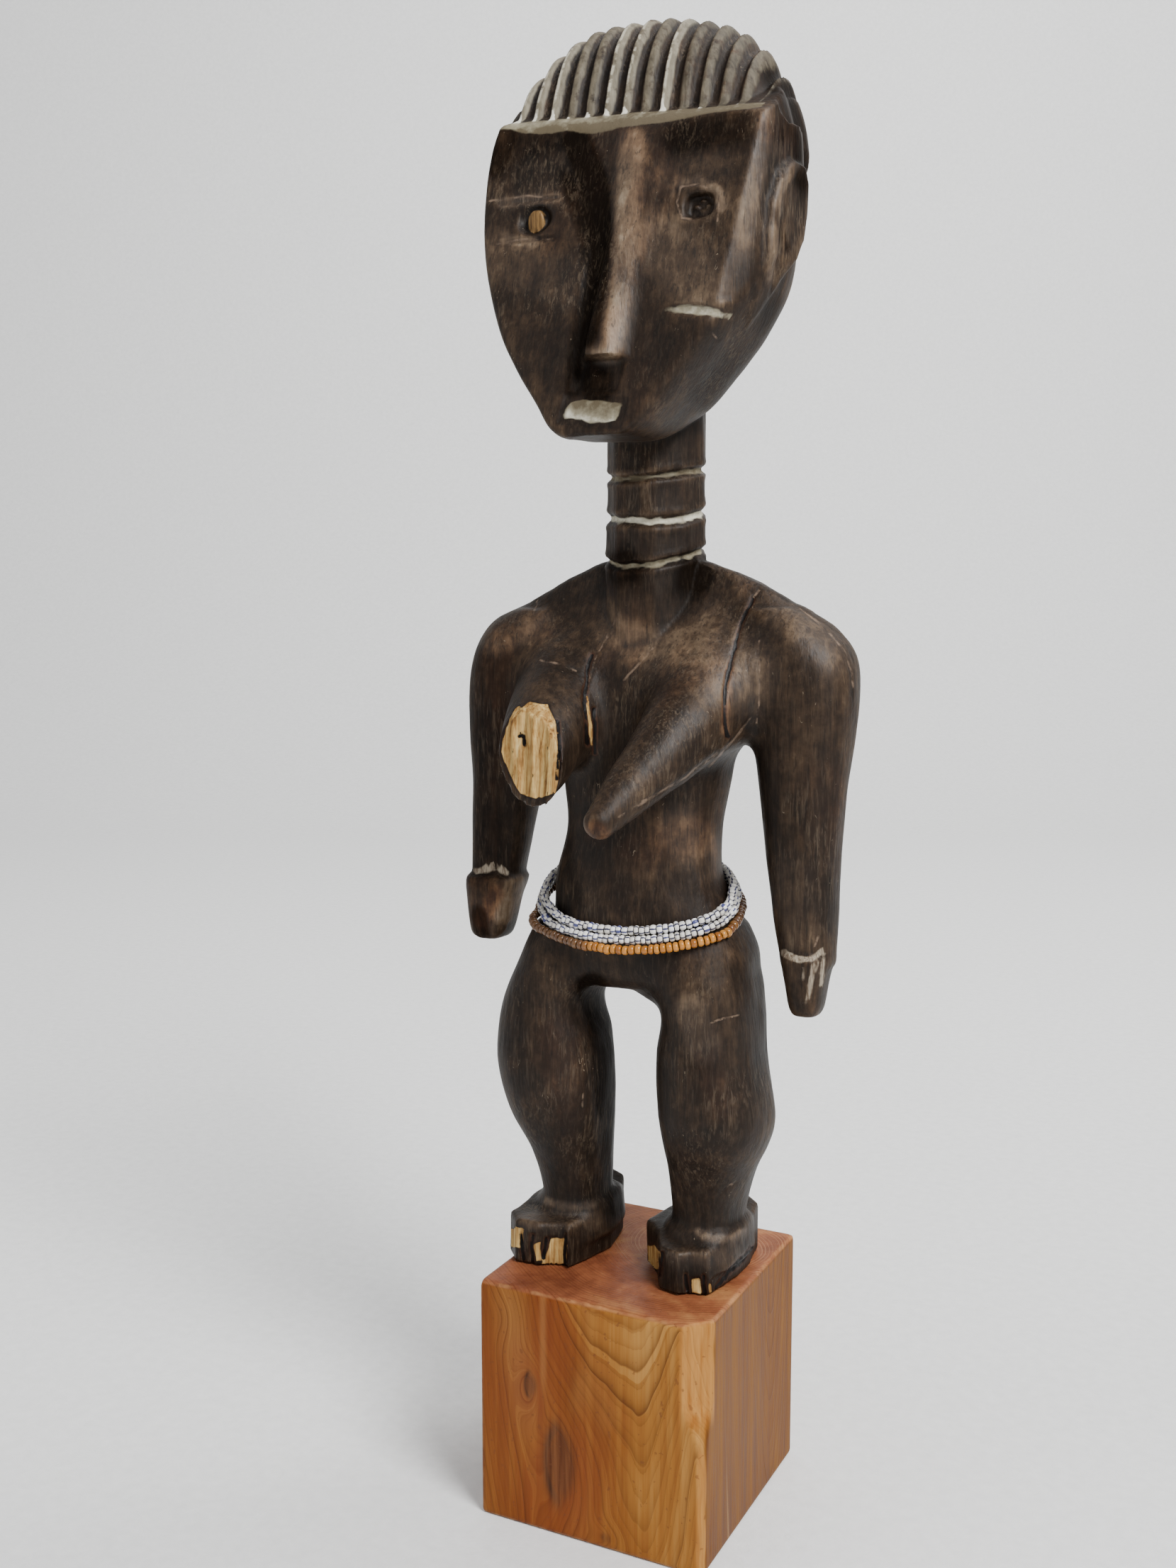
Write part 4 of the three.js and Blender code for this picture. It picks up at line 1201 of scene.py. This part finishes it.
def hair_chalk(paint, streaks, patchy):
    """Chalk on the hair: thin on the steep side of each ridge, in streaks, and thick at its foot. All of
    it lies only on the side of each ridge that faces the light, so the thin chalk and the streaks are
    painted light as well as chalk.
    """
    between, number = paint.between, paint.number
    x = paint.axes()[0]
    count = (x - HAIR["first"] * MM) / (HAIR["pitch"] * MM)
    ridge = count.fraction() + (paint.noise(150, 2) - 0.5) * 0.22
    lot = count.floor().lot(12.9898)
    back = number("hair_back")
    high = number("hair_high")
    # The side of each ridge that faces the light: what is laid on it is painted light as well as chalk
    lit_facet = between(ridge, 0.42, 0.52) * between(ridge, 0.9, 0.8) * between(x, 0.0312, 0.0285)
    on_hair = between(high, -0.2, 0.3) * lit_facet
    thin = on_hair * between(patchy + lot * 0.14, 0.3, 0.56)
    thin *= between(back, 26, 4) * 0.6 + 0.4
    # Pale tints of the thin chalk: chalk and painted light on the lit side of each ridge
    lit_facet_chalk = [(0.25, (0.035, 0.028, 0.018)), (0.5, (0.125, 0.106, 0.073)), (0.8, (0.3, 0.27, 0.2))]
    paint.cover(thin * 0.85, paint.ramp(streaks * 0.6 + lot * 0.4, lit_facet_chalk))
    # Pale streaks near each ridge's crest: chalk and painted highlight
    streak = between(ridge, 0.42, 0.5) * between(ridge, 0.66, 0.56)
    streak *= between(patchy, 0.44, 0.56) * between(lot, 0.45, 0.62)
    streak = streak * on_hair * between(back, 14, 2)
    paint.cover(streak * 0.75, (0.46, 0.43, 0.34))
    reach = lot ** 2.2 * 5.0 + 1.6
    wedge = 0.25 + between(ridge, 0.84, 0.46) * 0.75
    foot = between(reach * wedge + (patchy - 0.5) * 7.0 - high, -0.3, 0.5) * between(back, 4, -2)
    foot = foot * between(patchy + lot * 0.1, 0.4, 0.54) * between(x, 0.0305, 0.0285)
    paint.cover(foot * on_hair * 0.95, (0.66, 0.63, 0.53))


def rubbed_chalk(paint, patchy):
    """Chalk on the hair's band, in the neck's grooves, in the mouth and in the scar."""
    share = paint.between(paint.number("chalk_far") + (patchy - 0.5) * 1.1, 0.25, -0.3)
    full = paint.number("chalk_full") + (patchy - 0.55) * 0.75
    white = [(0.3, (0.1, 0.08, 0.05)), (0.55, (0.24, 0.215, 0.15)), (0.85, (0.62, 0.59, 0.48))]
    paint.cover(share * 0.95, paint.ramp(full, white))
    return share


def bare_wood(paint, soft, fibre):
    """Bare wood where pieces broke off, dark round its rim, and the cracks."""
    between = paint.between
    bare = [(0.34, (0.06, 0.022, 0.008)), (0.45, (0.28, 0.145, 0.042)), (0.6, (0.5, 0.33, 0.12)),
            (0.75, (0.68, 0.52, 0.26))]
    bare = paint.ramp(fibre * 0.8 + soft * 0.25, bare)
    uneven = (soft - 0.5) * 0.7
    pale = paint.number("pale_far") + uneven
    rim = between(pale, 0.7, 0.1) * between(pale, -0.3, 0.05)
    paint.cover(rim * 0.75, (0.013, 0.007, 0.005))
    paint.cover(between(pale, 0.05, -0.18), bare)
    crack = paint.number("crack_far")
    paint.cover(between(crack, 0.9, 0.4) * 0.16, (0.13, 0.04, 0.018))
    paint.cover(between(crack + uneven, 0.52, 0.3), (0.004, 0.0025, 0.002))
    return pale


def eye_peg(paint, fibre):
    """The amber peg in the right eye, dark round its foot."""
    peg = paint.number("peg_far")
    paint.cover(paint.between(peg, 3.9, 2.7) * 0.7, (0.006, 0.0035, 0.002))
    amber = paint.ramp(fibre, [(0.35, (0.035, 0.016, 0.005)), (0.65, (0.22, 0.125, 0.045))])
    paint.cover(paint.between(peg, 2.4, 2.15), amber)


BLOCK = {"half": (30.0, 30.8), "top": 61.0, "pith": (10, 14), "planed": (1.4, 6.0)}
# Each knot's place, half width, half height and how far it pushes the rings aside
KNOTS = [(-15.6, -30.8, 37, 2.2, 4.2, 4.2), (-7.6, -30.8, 18.5, 5.2, 12.5, 5.6),
         (-22, -34, 53, 3, 4, 2.6), (5, -32.5, 3, 2.4, 2.4, 2.0), (10, 30.8, 30, 4, 6, 5.0)]
RING = 0.95 * MM
FINE_RING = 0.41 * MM


def block_shape(p):
    x, y, z = p
    half_x, half_y = BLOCK["half"]
    middle = BLOCK["top"] / 2
    field = blend_max(np.abs(x) - half_x, np.abs(y) - half_y, 1.3)
    field = blend_max(field, np.abs(z - middle) - middle, 1.2)
    narrow, wide = BLOCK["planed"]
    leg = narrow + (wide - narrow) * smooth_step(z, 27, 47)
    plane = (x - y - half_x - half_y + leg) * 0.7071
    field = blend_max(field, plane + 0.15 * np.sin(0.5 * z), 0.5)
    strands = 0.5 + 0.5 * np.sin(1.1 * x + 2 * np.sin(0.37 * x))
    return field + 0.35 * strands * np.exp(-((y + half_y) ** 2 + (z - BLOCK["top"]) ** 2) / 1.6)


def growth(paint, x, y, z, fibre):
    """Growth rings round an upright heart and bent round the knots, the knots' darkness, and a wave."""
    between = paint.between
    wave = paint.noise(26, 2, 0.45, 0.1, paint.stretch((1, 1, 0.26)))
    ripple = paint.noise(110, 2, 0.5, 0, paint.stretch((1, 1, 0.2)))
    rx = x - BLOCK["pith"][0] * MM
    ry = y - BLOCK["pith"][1] * MM
    ring = (rx * rx + ry * ry).root()
    ring += (wave - 0.5) * 0.0085
    ring += (ripple - 0.5) * 0.0011
    ring += z * -0.085
    swirl, dark = None, None
    for kx, ky, kz, wide, tall, push in KNOTS:
        dx = (x - kx * MM) / (wide * MM)
        dy = (y - ky * MM) / (wide * MM)
        dz = (z - kz * MM) / (tall * MM)
        far = (dx * dx + dy * dy + dz * dz).root()
        bend = (far * far * -0.35).exp() * (push * MM)
        swirl = swirl + bend if swirl else bend
        core = between(far + (fibre - 0.5) * 0.8, 1.05, 0.5) * 0.78
        rim = (far - 0.72) * 4.5
        rim = (rim * rim * -1.0).exp()
        core = core.at_least(rim * between(dx + (wave - 0.5) * 1.5, 0.5, -0.5))
        dark = dark.at_least(core) if dark else core
    return ring + swirl, dark, wave


def right_side(paint, x, y, z, wave, late, dull):
    """The duller side face, with one pale streak down it."""
    dull = paint.mix(late * 0.4, dull, (0.065, 0.017, 0.001))
    face = BLOCK["half"][0] * MM
    paint.cover(paint.between(x, face - 0.0008, face - 0.0001) * 0.88, dull)
    streak = abs(y + (0.0172 + (z - 0.03) * 0.09)) + wave * 0.006
    streak = paint.between(streak, 0.0041, 0.0031) * paint.between(x, face - 0.001, face - 0.0002)
    paint.cover(streak * 0.42, (0.4, 0.24, 0.1))


def front_marks(paint, x, y, z, wave, cloud):
    """Redder wood round the two large knots, and a pale scratch."""
    between = paint.between
    red = None
    for knot in KNOTS[:2]:
        dx = (x - knot[0] * MM) / 0.0075
        dz = (z - knot[2] * MM) / 0.014
        near = ((dx * dx + dz * dz) * -0.7).exp()
        red = red.at_least(near) if red else near
    red = red * between(y, -0.02, -0.03) * between(cloud, 0.35, 0.6)
    paint.cover(red * 0.6, (0.16, 0.035, 0.014))
    scratch = abs(x + (0.0122 + (wave - 0.5) * 0.0012))
    scratch = between(scratch, 0.0014, 0.0002) * between(z, 0.031, 0.044)
    face = -BLOCK["half"][1] * MM
    scratch *= between(y, face + 0.0013, face + 0.0005)
    paint.cover(scratch * 0.3, (0.36, 0.17, 0.055))


def top_side(paint, y, z, cloud, late):
    """The end grain: mottled, with lines that turn paler towards the back."""
    line = paint.mix(paint.between(y, -0.006, 0.008), (0.08, 0.02, 0.006), (0.42, 0.21, 0.1))
    mottle = cloud * 0.75 + paint.noise(300, 3, 0.6) * 0.25
    top = [(0.36, (0.13, 0.036, 0.016)), (0.5, (0.25, 0.082, 0.034)), (0.64, (0.42, 0.19, 0.07))]
    top = paint.mix(late * 0.95, paint.ramp(mottle, top), line)
    face = BLOCK["top"] * MM
    paint.cover(paint.between(z, face - 0.0012, face - 0.0004), top)


def worn_edges(paint, x, y, z, fibre):
    """The planed corner, fresher than the faces, and edges rubbed pale."""
    between = paint.between
    planed = x - y - (BLOCK["half"][0] + BLOCK["half"][1] - 6.6) * MM
    upper = between(planed, 0.0, 0.0005) * between(z, 0.034, 0.04)
    planed = upper.at_least(between(planed - 0.0046, 0.0, 0.0003))
    light = paint.ramp(fibre, [(0.35, (0.28, 0.1, 0.017)), (0.65, (0.44, 0.21, 0.055))])
    paint.cover(planed * 0.7, light)
    half_x, half_y, half_z = (size * MM for size in (*BLOCK["half"], BLOCK["top"] / 2))
    near = [between(abs(q), edge - 0.0014, edge - 0.0002)
            for q, edge in ((x, half_x), (y, half_y), (z - half_z, half_z))]
    rim = between(near[0] + near[1] + near[2], 1.2, 1.9) * between(paint.noise(160, 3, 0.6), 0.42, 0.6)
    paint.cover(rim * 0.34, (0.46, 0.25, 0.1))


def block_wood():
    paint = Paint("block_wood", specular=0.1)
    noise, between = paint.noise, paint.between
    x, y, z = paint.axes()
    fibre = noise(620, 4, 0.6, 0.2, paint.stretch((1, 1, 0.035)))
    ring, dark, wave = growth(paint, x, y, z, fibre)
    count = ring / RING
    turn = count.fraction()
    lot = abs(count.floor().lot(78.233))
    late = turn ** 4.2 * between(turn, 1.0, 0.94)
    late *= lot * 0.95 + 0.2
    close = ((ring + fibre * 0.0002) / FINE_RING).fraction() ** 4.0
    late = late.at_least(close * 0.3)
    band = (ring / 0.0105).fraction()
    cloud = noise(30, 3, 0.55, 0.4, paint.stretch((1, 1, 0.5)))
    level = fibre * 0.52 + cloud * 0.58 - 0.12
    level += band * 0.12
    level += between(x, -0.002, 0.02) * 0.2
    level += (lot - 0.5) * 0.12
    paint.color = paint.ramp(level, [(0.3, (0.13, 0.036, 0.006)), (0.48, (0.2, 0.063, 0.01)),
                                     (0.66, (0.285, 0.115, 0.02)), (0.85, (0.4, 0.2, 0.052))])
    hue = noise(24, 2, 0.5, 0.6, paint.stretch((1, 1, 0.45), (0, 0, 0.4)))
    ruddy = between(hue, 0.42, 0.62) * between(x, 0.012, -0.008)
    paint.cover(ruddy * 0.45, (0.2, 0.04, 0.009))
    paint.cover(between(hue, 0.5, 0.36) * 0.42, (0.38, 0.19, 0.055))
    paint.cover(late * 0.95, (0.06, 0.014, 0.002))
    dull = paint.ramp(fibre * 0.8 + cloud * 0.2, [(0.35, (0.072, 0.02, 0.001)),
                                                  (0.5, (0.12, 0.038, 0.001)),
                                                  (0.7, (0.18, 0.068, 0.003))])
    right_side(paint, x, y, z, wave, late, dull)
    front_marks(paint, x, y, z, wave, cloud)
    top_side(paint, y, z, cloud, late)
    paint.cover(dark * 0.9, paint.ramp(fibre, [(0.4, (0.03, 0.011, 0.005)), (0.7, (0.14, 0.058, 0.024))]))
    worn_edges(paint, x, y, z, fibre)
    specks = between(noise(800, 1, 0.4), 0.7, 0.75) * 0.5
    paint.cover(specks, (0.12, 0.04, 0.015))
    paint.set("Base Color", paint.color)
    paint.set("Roughness", fibre * 0.25 + 0.36)
    paint.set("Normal", paint.bump(late * 0.5 + fibre * 0.5, 0.0003, 0.5))
    return paint.material


# The loop that the strands follow: low in front, and clear of the body by the gap
STRAND = {"x": -1.4, "y": -1.2, "half": 23.5, "front": 17.6, "back": 14.8, "middle": 157.8, "fall": 0.44,
          "gap": 0.15, "square": 2.1}

# The strands from the top down: push goes outwards and drop downwards, from their first value in front
# to their second at the back, over the angles in reach; shade is painted shade: a strand is lit at its
# first angle, grows darker from its second to its third angle away from it, and stays dark beyond
LAY = {
    "beads_white_upper": {"glass": "white_beads", "seed": 51, "radius": 1.13, "pitch": 1.42,
                          "shade": (-68, 52, 92), "reach": (20, 80), "push": (0, 0.2), "drop": (0, 0)},
    "beads_white_lower": {"glass": "white_beads", "seed": 52, "radius": 1.1, "pitch": 1.4,
                          "shade": (-66, 50, 90), "reach": (20, 80), "push": (0.7, 0.2),
                          "drop": (2.1, 2.1)},
    "beads_ochre": {"glass": "ochre_beads", "seed": 53, "radius": 1.17, "pitch": 1.48,
                    "shade": (-58, 32, 50), "reach": (30, 80), "push": (0.6, -1.3), "drop": (4.2, 4.4)},
}

# A bead's outline: places along it and distances from its middle line, as shares
BEAD = [(-0.3, 0.25), (-0.43, 0.4), (-0.43, 0.66), (-0.32, 0.9), (0, 1.0),
        (0.32, 0.9), (0.43, 0.66), (0.43, 0.4), (0.3, 0.25)]
SIDES = 14


def clear_reach(body, way, height, radius):
    """How far out a strand must lie in one direction to touch the body and not cut it."""
    hit = body.ray_cast(Vector((STRAND["x"], STRAND["y"], height)) * MM, way)
    return (hit[3] / MM if hit[0] else 0) + radius + STRAND["gap"]


def strand_path(body, lay, laid):
    """The middle line of a strand, clear of the body and of the strands laid before it."""
    radius = lay["radius"]
    power = 2 / STRAND["square"]
    out = []
    for n, angle in enumerate(np.linspace(0, 2 * math.pi, 96, endpoint=False)):
        c, s = math.cos(angle), math.sin(angle)
        x = math.copysign(abs(c) ** power, c) * STRAND["half"]
        y = math.copysign(abs(s) ** power, s) * (STRAND["back"] if s > 0 else STRAND["front"])
        away = abs((math.degrees(angle) + 90 + 180) % 360 - 180)
        turned = float(smooth_step(away, *lay["reach"]))
        drop, push = (lay[k][0] + (lay[k][1] - lay[k][0]) * turned for k in ("drop", "push"))
        z = STRAND["middle"] + STRAND["fall"] * (y + STRAND["y"]) - drop
        way = Vector((x, y, 0)).normalized()
        reach = max(math.hypot(x, y), clear_reach(body, way, z + drop - radius, radius)) + push
        reach = max(reach, clear_reach(body, way, z - radius, radius), clear_reach(body, way, z, radius))
        for path, wide in laid:
            room = wide + radius + 0.08
            lift = abs(path[n][2] - z)
            if lift < room:
                far = math.hypot(path[n][0] - STRAND["x"], path[n][1] - STRAND["y"])
                reach = max(reach, far + math.sqrt(room * room - lift * lift))
        out.append((STRAND["x"] + way.x * reach, STRAND["y"] + way.y * reach, z))
    out = np.array(out)
    return (np.roll(out, 1, 0) + out * 2 + np.roll(out, -1, 0)) / 4


def bead_points(path, lay, rng):
    """Rings of points of beads threaded side by side on a loop, each a little unlike the next."""
    loop = np.vstack([path, path[:1]])
    far = np.concatenate([[0], np.cumsum(np.linalg.norm(np.diff(loop, axis=0), axis=1))])
    count = int(round(far[-1] / lay["pitch"]))
    size = rng.normal(1, 0.085, count).clip(0.8, 1.25)
    size *= far[-1] / size.sum()
    middle = np.cumsum(size) - size / 2

    def on_loop(distance):
        return np.array([np.interp(distance % far[-1], far, loop[:, k]) for k in range(3)])

    angles = 2 * math.pi * np.arange(SIDES) / SIDES
    points = []
    for i in range(count):
        at = on_loop(middle[i])
        along = on_loop(middle[i] + 1.2) - on_loop(middle[i] - 1.2) + rng.normal(0, 0.1, 3)
        along /= np.linalg.norm(along)
        out = np.array([along[1], -along[0], 0])
        out /= np.linalg.norm(out)
        up = np.cross(along, out)
        at = at + out * rng.normal(0, 0.05) + up * rng.normal(0, 0.09)
        wide = lay["radius"] * rng.normal(1, 0.035)
        spin = rng.uniform(0, 2 * math.pi)
        for length, reach in BEAD:
            for angle in angles:
                way = math.cos(angle + spin) * out + math.sin(angle + spin) * up
                points.append(at + along * length * size[i] * 1.04 + way * reach * wide)
    return np.array(points), count


def bead_faces(count):
    faces = []
    for base in range(0, count * len(BEAD) * SIDES, len(BEAD) * SIDES):
        for ring in range(base, base + (len(BEAD) - 1) * SIDES, SIDES):
            for k in range(SIDES):
                n = (k + 1) % SIDES
                faces.append((ring + k, ring + n, ring + SIDES + n, ring + SIDES + k))
    return np.array(faces)


def add_bead_uv(mesh):
    """Places round and along each bead, from 0 to 1."""
    layer = mesh.uv_layers.new(name="round_and_along")
    corner = np.empty(len(mesh.loops), np.int32)
    mesh.loops.foreach_get("vertex_index", corner)
    ring = corner % (len(BEAD) * SIDES)
    quad = (ring % SIDES).reshape(-1, 4)
    wrapped = (quad.max(1) - quad.min(1)) > 1
    quad = np.where(wrapped[:, None] & (quad == 0), SIDES, quad)
    uv = np.stack([quad.ravel() / SIDES, (ring // SIDES) / (len(BEAD) - 1)], 1)
    layer.data.foreach_set("uv", uv.astype(np.float32).ravel())


def add_strand(name, path, material):
    lay = LAY[name]
    rng = np.random.default_rng(lay["seed"])
    points, count = bead_points(path, lay, rng)
    faces = bead_faces(count)
    each = len(BEAD) * SIDES
    centre = points.reshape(count, each, 3).mean(1)
    if ((points - np.repeat(centre, each, 0)) * point_normals(points, faces)).sum() < 0:
        faces = faces[:, ::-1]
    piece = mesh_object(name + "_glass", points, faces)
    add_number(piece.data, "bead_lot", np.repeat(rng.random(count), each))
    # Painted shade on each bead, from how far round the loop it lies from the lit angle
    lit, start, end = lay["shade"]
    angle = np.degrees(np.arctan2(centre[:, 1] - STRAND["y"], centre[:, 0] - STRAND["x"]))
    shade = smooth_step(np.abs((angle - lit + 180) % 360 - 180), start, end)
    add_number(piece.data, "bead_shade", np.repeat(shade, each))
    add_bead_uv(piece.data)
    piece.data.materials.append(material)
    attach(piece, "root")
    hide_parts(name)
    "ochre_beads" if "ochre" in name else "white_beads"


GLASS = {
    "white_beads": {
        "roughness": 0.22, "specular": 0.5, "lot": 0.6, "cloud": (260, 2),
        "tints": [(0.2, (0.6, 0.57, 0.51)), (0.5, (0.78, 0.76, 0.72)), (0.8, (0.88, 0.87, 0.85))],
        "shade": (0.75, (0.3, 0.28, 0.25)), "end_darkening": (0.22, 0.33, 0.96, (0.025, 0.021, 0.019)),
        "stripes": [(0.0, (0.004, 0.004, 0.03)), (0.6, (0.007, 0.008, 0.06)),
                    (1.0, (0.018, 0.025, 0.16))],
        "rough": (0.2, 700, 0.2), "pits": 1100,
    },
    "ochre_beads": {
        "roughness": 0.2, "specular": 0.55, "lot": 0.7, "cloud": (500, 3),
        "tints": [(0.2, (0.25, 0.08, 0.008)), (0.5, (0.4, 0.15, 0.016)), (0.9, (0.52, 0.22, 0.035))],
        "shade": (0.85, (0.055, 0.028, 0.015)), "end_darkening": (0.24, 0.4, 0.85, (0.045, 0.018, 0.008)),
        "stripes": None, "rough": (0.16, 800, 0.22), "pits": 1000,
    },
}


def bead_glass(name):
    """Glass beads, each a little unlike the next, with painted shade towards the back, and darker at the
    ends where they touch.
    """
    glass = GLASS[name]
    paint = Paint(name, glass["roughness"], glass["specular"])
    noise, between = paint.noise, paint.between
    lot = paint.number("bead_lot")
    around, along = paint.round_and_along()
    paint.color = paint.ramp(lot * glass["lot"] + noise(*glass["cloud"]) * 0.4, glass["tints"])
    share, shaded = glass["shade"]
    # Painted shade: the beads darker the further they turn from the lit front
    paint.cover(paint.number("bead_shade") * share, shaded)
    # Darker at each bead's ends, where it touches the next
    near, end, share, end_color = glass["end_darkening"]
    paint.cover(between(abs(along - 0.5), near, end) * share, end_color)
    if glass["stripes"]:
        turn = (around * 4 + (noise(900, 2, 0.5) * 0.12 + lot * 3)).fraction()
        wide = 0.115 + between(lot, 0.88, 0.97) * 0.14
        stripe = between(abs(turn - 0.5) - wide, 0.03, -0.01)
        paint.cover(stripe * 0.95, paint.ramp(lot, glass["stripes"]))
    paint.set("Base Color", paint.color)
    level, size, strength = glass["rough"]
    paint.set("Roughness", level + noise(size, 2) * strength)
    paint.set("Normal", paint.bump(noise(glass["pits"], 2), 0.0001, 0.4))
    return paint.material


def add_stage():
    floor = bpy.data.meshes.new("floor")
    wide, back, high, bend = 3.0, 1.1, 3.0, 0.6
    aim = -AXES[2][:2] / np.linalg.norm(AXES[2][:2])
    across_aim = np.array([-aim[1], aim[0]])
    profile = [(-3.0, 0.0)] + [(back + bend * math.sin(t), bend * (1 - math.cos(t)))
                               for t in np.linspace(0, math.pi / 2, 13)] + [(back + bend, high)]
    points = [(*(aim * d + across_aim * s), z) for s in (-wide, wide) for d, z in profile]
    count = len(profile)
    floor.from_pydata(points, [], [(i, i + 1, i + 1 + count, i + count) for i in range(count - 1)])
    for polygon in floor.polygons:
        polygon.use_smooth = True
    floor.validate()
    stage = bpy.data.objects.new("floor", floor)
    bpy.context.scene.collection.objects.link(stage)
    paint = Paint("pale_floor", roughness=0.95, specular=0.1)
    shade = paint.ramp(paint.noise(260, 3), [(0.3, (0.80, 0.80, 0.79)), (0.7, (0.86, 0.86, 0.85))])
    paint.set("Base Color", shade)
    paint.set("Normal", paint.bump(paint.noise(900, 2), 0.0004, 0.3))
    floor.materials.append(paint.material)


def add_light(name, place, size, power, aim=(0, 0, 0.2)):
    data = bpy.data.lights.new(name, "AREA")
    data.shape = "DISK"
    data.size = size
    data.energy = power
    light = bpy.data.objects.new(name, data)
    turn = (Vector(aim) - Vector(place)).to_track_quat("-Z", "Y").to_matrix().to_4x4()
    light.matrix_world = Matrix.Translation(Vector(place)) @ turn
    bpy.context.scene.collection.objects.link(light)


def add_lights():
    world = bpy.data.worlds.new("studio")
    world.use_nodes = True
    sky = world.node_tree.nodes["Background"]
    sky.inputs["Color"].default_value = (0.96, 0.97, 1.0, 1)
    sky.inputs["Strength"].default_value = 0.5
    bpy.context.scene.world = world
    add_light("key", (0.85, -0.45, 1.05), 0.55, 26)
    add_light("fill", (-0.9, -1.0, 0.7), 1.0, 3)
    add_light("backdrop", (0.35, 0.45, 1.3), 1.2, 26, aim=(-0.75, 1.45, 0.9))


def add_figure():
    points, faces = skin_of(figure_volume())
    points, keep = weathered(points, faces)
    figure = mesh_object("figure_carving", points, faces)
    thin_out(figure, min(1.0, FIGURE_TRIANGLES / (2 * len(faces))), keep)
    mark_figure(figure.data)
    figure.data.materials.append(dark_wood())
    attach(figure, "root")
    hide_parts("figure")
    return figure


def add_block():
    half_x, half_y = BLOCK["half"]
    room = (-half_x - 2, -half_y - 2, -2), (half_x + 2, half_y + 2, BLOCK["top"] + 2)
    volume = Volume(*room, BLOCK_STEP)
    volume.join(*room, block_shape, 0.01)
    points, faces = skin_of(volume)
    block = mesh_object("plinth_block_wood", points, faces)
    thin_out(block, 0.25)
    block.data.materials.append(block_wood())
    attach(block, "root")
    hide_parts("plinth_block")


def add_strands(figure):
    mesh = figure.data
    corners = [vertex.co.copy() for vertex in mesh.vertices]
    body = BVHTree.FromPolygons(corners, [tuple(polygon.vertices) for polygon in mesh.polygons])
    glasses = {name: bead_glass(name) for name in GLASS}
    laid = []
    for name, lay in LAY.items():
        path = strand_path(body, lay, laid)
        laid.append((path, lay["radius"]))
        add_strand(name, path, glasses[lay["glass"]])


add_camera()
add_stage()
add_lights()
carving = add_figure()
add_block()
add_strands(carving)
